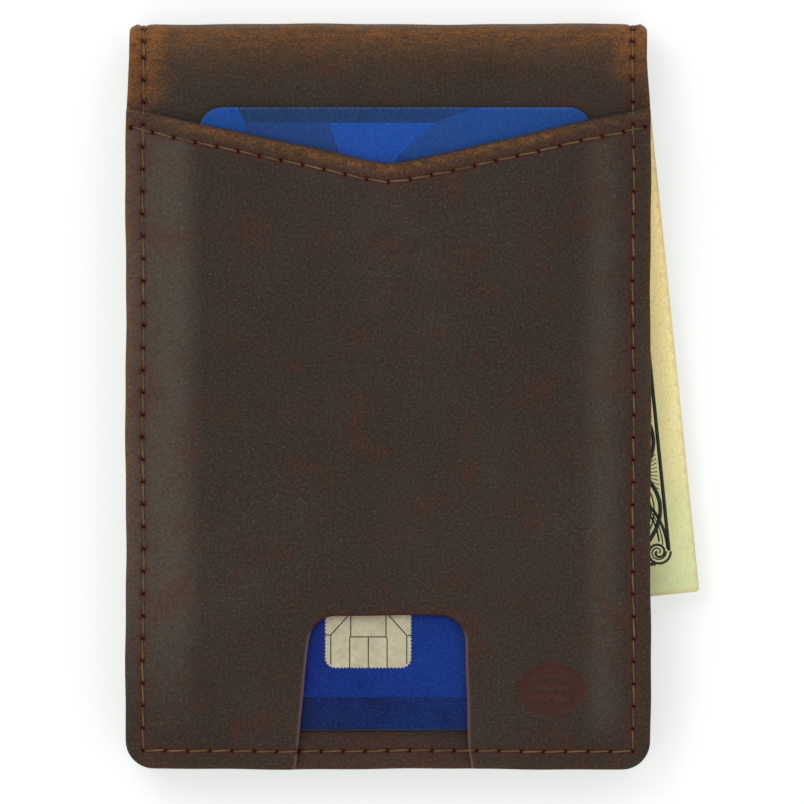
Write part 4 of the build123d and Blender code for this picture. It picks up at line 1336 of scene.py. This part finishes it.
note_length = 2 * NOTE_HALF
crease_rows = NOTE_HALF - NOTE_CREASE + math.pi * NOTE_CREASE * np.linspace(0, 1, 7)
note = sheet_mesh(
    "banknote_paper", [rounded_box((0, 0), (NOTE_WIDTH, note_length), 0.5, 0.8)],
    -NOTE_PAPER / 2, NOTE_PAPER / 2, place=note_place, flipped=True, step=1.4, roll=0.045,
    extra=[row(np.arange(0.8, NOTE_WIDTH - 0.5, 0.9), s) for s in crease_rows],
    # rim: painted shade along the note's edges
    wear=lambda x, y, edge: {"rim": np.clip(1 - edge / 0.3, 0, 1)}, materials=(paper_material(),),
)
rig.slot(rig.ride(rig.replaces(note, "banknote"), "banknote"), "note_paper")


def ink_material():
    m = Shader("note_ink")
    patchy = m.noise(3.0, 3.0, 0.7)
    colour = m.mix(m.fit(patchy, 0.35, 0.7), linear(24, 28, 22), linear(52, 56, 44))
    return m.done(colour, m.fit(patchy, 0.3, 0.7, 0.6, 0.8), None, 0.2)


def volute(centre, start_radius, turns):
    """A spiral that winds in towards its centre, from its left."""
    t = np.linspace(0, 1, 46)
    radius = start_radius * (1 - t) ** 0.85 + 0.18
    angle = math.pi + 2 * math.pi * turns * t
    return np.stack([centre[0] + radius * np.cos(angle), centre[1] + radius * np.sin(angle)], 1)


def bow(start, end, bulge):
    """An arc-like line from start to end that bulges to one side."""
    start, end = np.array(start, float), np.array(end, float)
    t = np.linspace(0, 1, 30)[:, None]
    along = end - start
    side = np.array([-along[1], along[0]]) / np.linalg.norm(along)
    return start + t * along + side * bulge * 4 * t * (1 - t)


def side_strokes(near_edge, end_edge, crease_edge):
    """The border up the note's right side, as (path, width)."""
    scallop = 9.4
    strokes = []
    for i in range(int((crease_edge - end_edge - 4) // scallop)):
        low = end_edge + 3.2 + i * scallop
        high = low + scallop
        for gap, width in ((0.0, 0.55), (0.85, 0.2), (1.35, 0.3), (1.9, 0.12)):
            across = near_edge + 2.6 + gap
            strokes.append((bow((across, low), (across, high), 2.0), width))
        for share in np.linspace(-1, 1, 9):
            root = (near_edge + 1.4 + 0.6 * abs(share), high + share * 1.5)
            tip = (near_edge + 0.5, high + share * 2.4)
            strokes.append((straight(root, tip, 0.3), 0.12))
    strokes.append((straight((near_edge, end_edge + 1.6), (near_edge, crease_edge), 1.0), 0.5))
    for inward, size, turns, width in ((1.5, 1.55, 1.6, 0.34), (1.55, 1.0, 1.1, 0.2)):
        strokes.append((volute((near_edge + inward, end_edge + inward), size, turns), width))
    for gap, width in ((0.0, 0.42), (0.6, 0.16), (1.1, 0.26)):
        start, end = (near_edge + 0.15 + gap, end_edge + 1.9 + gap), (near_edge + 3.4 + gap, end_edge + 9.5)
        strokes.append((bow(start, end, 0.9), width))
    return strokes


def border_strokes():
    """A generic engraved border of scallops and volutes round one leaf of the note."""
    near_edge, end_edge = 3.6, 4.4
    far_edge, crease_edge = NOTE_WIDTH - near_edge, NOTE_HALF - 6.0
    strokes = side_strokes(near_edge, end_edge, crease_edge)
    strokes += [(np.stack([NOTE_WIDTH - path[:, 0], path[:, 1]], 1)[::-1], width) for path, width in strokes]
    for left in near_edge + 4 + 6 * np.arange(int((far_edge - near_edge - 6) // 6)):
        for gap, width in ((0.0, 0.5), (0.8, 0.2), (1.2, 0.3)):
            level = end_edge + 1.6 + gap
            strokes.append((bow((left, level), (left + 6, level), -1.4), width))
    strokes.append((straight((near_edge + 2, end_edge), (far_edge - 2, end_edge), 1.0), 0.5))
    return strokes


def rosette(centre, size, petals, rings=5):
    """Interlaced guilloche round a centre."""
    turn = np.linspace(0, 2 * math.pi, 160)
    found = []
    for ring in range(rings):
        radius = size * (0.55 + 0.09 * ring) * (1 + 0.16 * np.sin(petals * turn + ring * math.pi / rings))
        path = np.stack([centre[0] + radius * np.cos(turn), centre[1] + 1.25 * radius * np.sin(turn)], 1)
        found.append((path, 0.13))
    return found


note_ink = line_work(
    "banknote_ink",
    border_strokes() + rosette((NOTE_WIDTH / 2, 40.0), 13.0, 12, rings=7)
    + rosette((15.0, 22.0), 5.0, 9) + rosette((NOTE_WIDTH - 15.0, 22.0), 5.0, 9),
    NOTE_PAPER / 2 + 0.008, note_place, ink_material(), flipped=True,
)
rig.slot(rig.ride(note_ink, "banknote"), "note_paper")
note_size = (NOTE_WIDTH * MM, note_length * MM)
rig.sheet(note, flat=note_size, held="folded", rests_on=["card_slot_shallow"], with_pieces=[note_ink])

# ---- Metal and film: the CAD shapes stay, with finished materials ----
STEEL = brushed_steel("clip_steel_brushed", linear(186, 188, 192), 0.3)
SPRING = brushed_steel("spring_steel_drawn", linear(168, 170, 176), 0.34)
BRASS = brushed_steel("rivet_brass_polished", linear(206, 166, 96), 0.28)


def film_material():
    """Clear flexible film with faint scuffs."""
    m = Shader("clear_id_film")
    scuff = m.noise(240.0, 5.0, 0.7, at=m.add("TexCoord", {}, "Object"))
    colour = m.mix(m.fit(scuff, 0.4, 0.7), linear(196, 202, 204), linear(160, 168, 172))
    return m.done(colour, m.fit(scuff, 0.3, 0.75, 0.08, 0.24), m.bump(scuff, 0.02, 0.25), 0.5, Alpha=0.1)


for node, material in (
    ("clip_base", STEEL),
    ("clip_arm", STEEL),
    ("clip_pin", STEEL),
    ("clip_springs", SPRING),
    ("clip_rivets", BRASS),
    ("id_window_film", film_material()),
):
    slots = frame["nodes"][node].data.materials
    slots.clear()
    slots.append(material)

# ---- Floor, light and camera ----
FLOOR_HALF = 900.0
FLOOR_STEP = 150.0
FLOOR_Z = -0.15


def floor_material():
    """White acrylic over a lit table, which keeps shadows soft."""
    m = Shader("lit_white_floor")
    colour = m.mix(m.noise(0.01, 3.0), linear(169, 169, 168), linear(166, 167, 166))
    return m.done(colour, 0.9, None, 0.0, Emission_Color=linear(251, 255, 251), Emission_Strength=0.5)


floor_points = hex_grid(np.array([-FLOOR_HALF] * 2), np.array([FLOOR_HALF] * 2), FLOOR_STEP)
floor_corners = np.array([(-1, -1), (1, -1), (1, 1), (-1, 1)]) * FLOOR_HALF
floor_loop = dense(floor_corners.astype(float), FLOOR_STEP)
floor_points = floor_points[distance(floor_points, *segments(floor_loop)) > 20]
floor_flat, floor_faces = triangulate(np.concatenate([floor_loop, floor_points]), [floor_loop])
floor_z = np.column_stack([floor_flat, np.full(len(floor_flat), FLOOR_Z)])
floor = make_object("floor", floor_z, floor_faces, {"rest": floor_z}, [floor_material()])
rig.stage(floor)

LIGHT_PLACE = (-0.42, 0.46, 1.0)
light = bpy.data.lights.new("window_light", "AREA")
light.shape, light.size, light.energy, light.color = "SQUARE", 0.62, 4.0, (1.0, 0.985, 0.965)
lamp = bpy.data.objects.new("window_light", light)
lamp.location = LIGHT_PLACE
lamp.rotation_euler = (-Vector(LIGHT_PLACE)).to_track_quat("-Z", "Y").to_euler()
bpy.context.scene.collection.objects.link(lamp)

world = bpy.data.worlds.new("soft_room")
world.use_nodes = True
sky = world.node_tree
background = sky.nodes["Background"]
background.inputs["Color"].default_value = (0.97, 0.985, 1.0, 1)
direction = sky.nodes.new("ShaderNodeTexCoord")
parts = sky.nodes.new("ShaderNodeSeparateXYZ")
overhead = sky.nodes.new("ShaderNodeMapRange")  # the room is darker straight above
for name, value in (("From Min", 0.88), ("From Max", 0.985), ("To Min", 1.5), ("To Max", 0.55)):
    overhead.inputs[name].default_value = value
sky.links.new(direction.outputs["Generated"], parts.inputs[0])
sky.links.new(parts.outputs["Z"], overhead.inputs["Value"])
sky.links.new(overhead.outputs["Result"], background.inputs["Strength"])
bpy.context.scene.world = world
bpy.context.scene.view_settings.view_transform = "Standard"

VIEW_WIDTH = 110.6 * MM  # what the picture takes in at the wallet's upper face
VIEW_CENTRE = Vector((1.9 * MM, -0.8 * MM))
CAMERA_HEIGHT = 2.5
SENSOR = 36.0
camera_data = bpy.data.cameras.new("camera")
camera_data.sensor_width = SENSOR
camera_data.lens = SENSOR * (CAMERA_HEIGHT - FACE_Z * MM) / VIEW_WIDTH
camera_data.clip_start, camera_data.clip_end = 0.1, 10.0
camera = bpy.data.objects.new("camera", camera_data)
camera.location = (*VIEW_CENTRE, CAMERA_HEIGHT)
bpy.context.scene.collection.objects.link(camera)
bpy.context.scene.camera = camera

bpy.context.view_layer.update()
visual_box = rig.bounds()
with open("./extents.json", "w") as file:
    json.dump(
        {
            "cad": [list(corner) for corner in cad_box],
            "visual": [list(corner) for corner in visual_box],
        },
        file,
    )
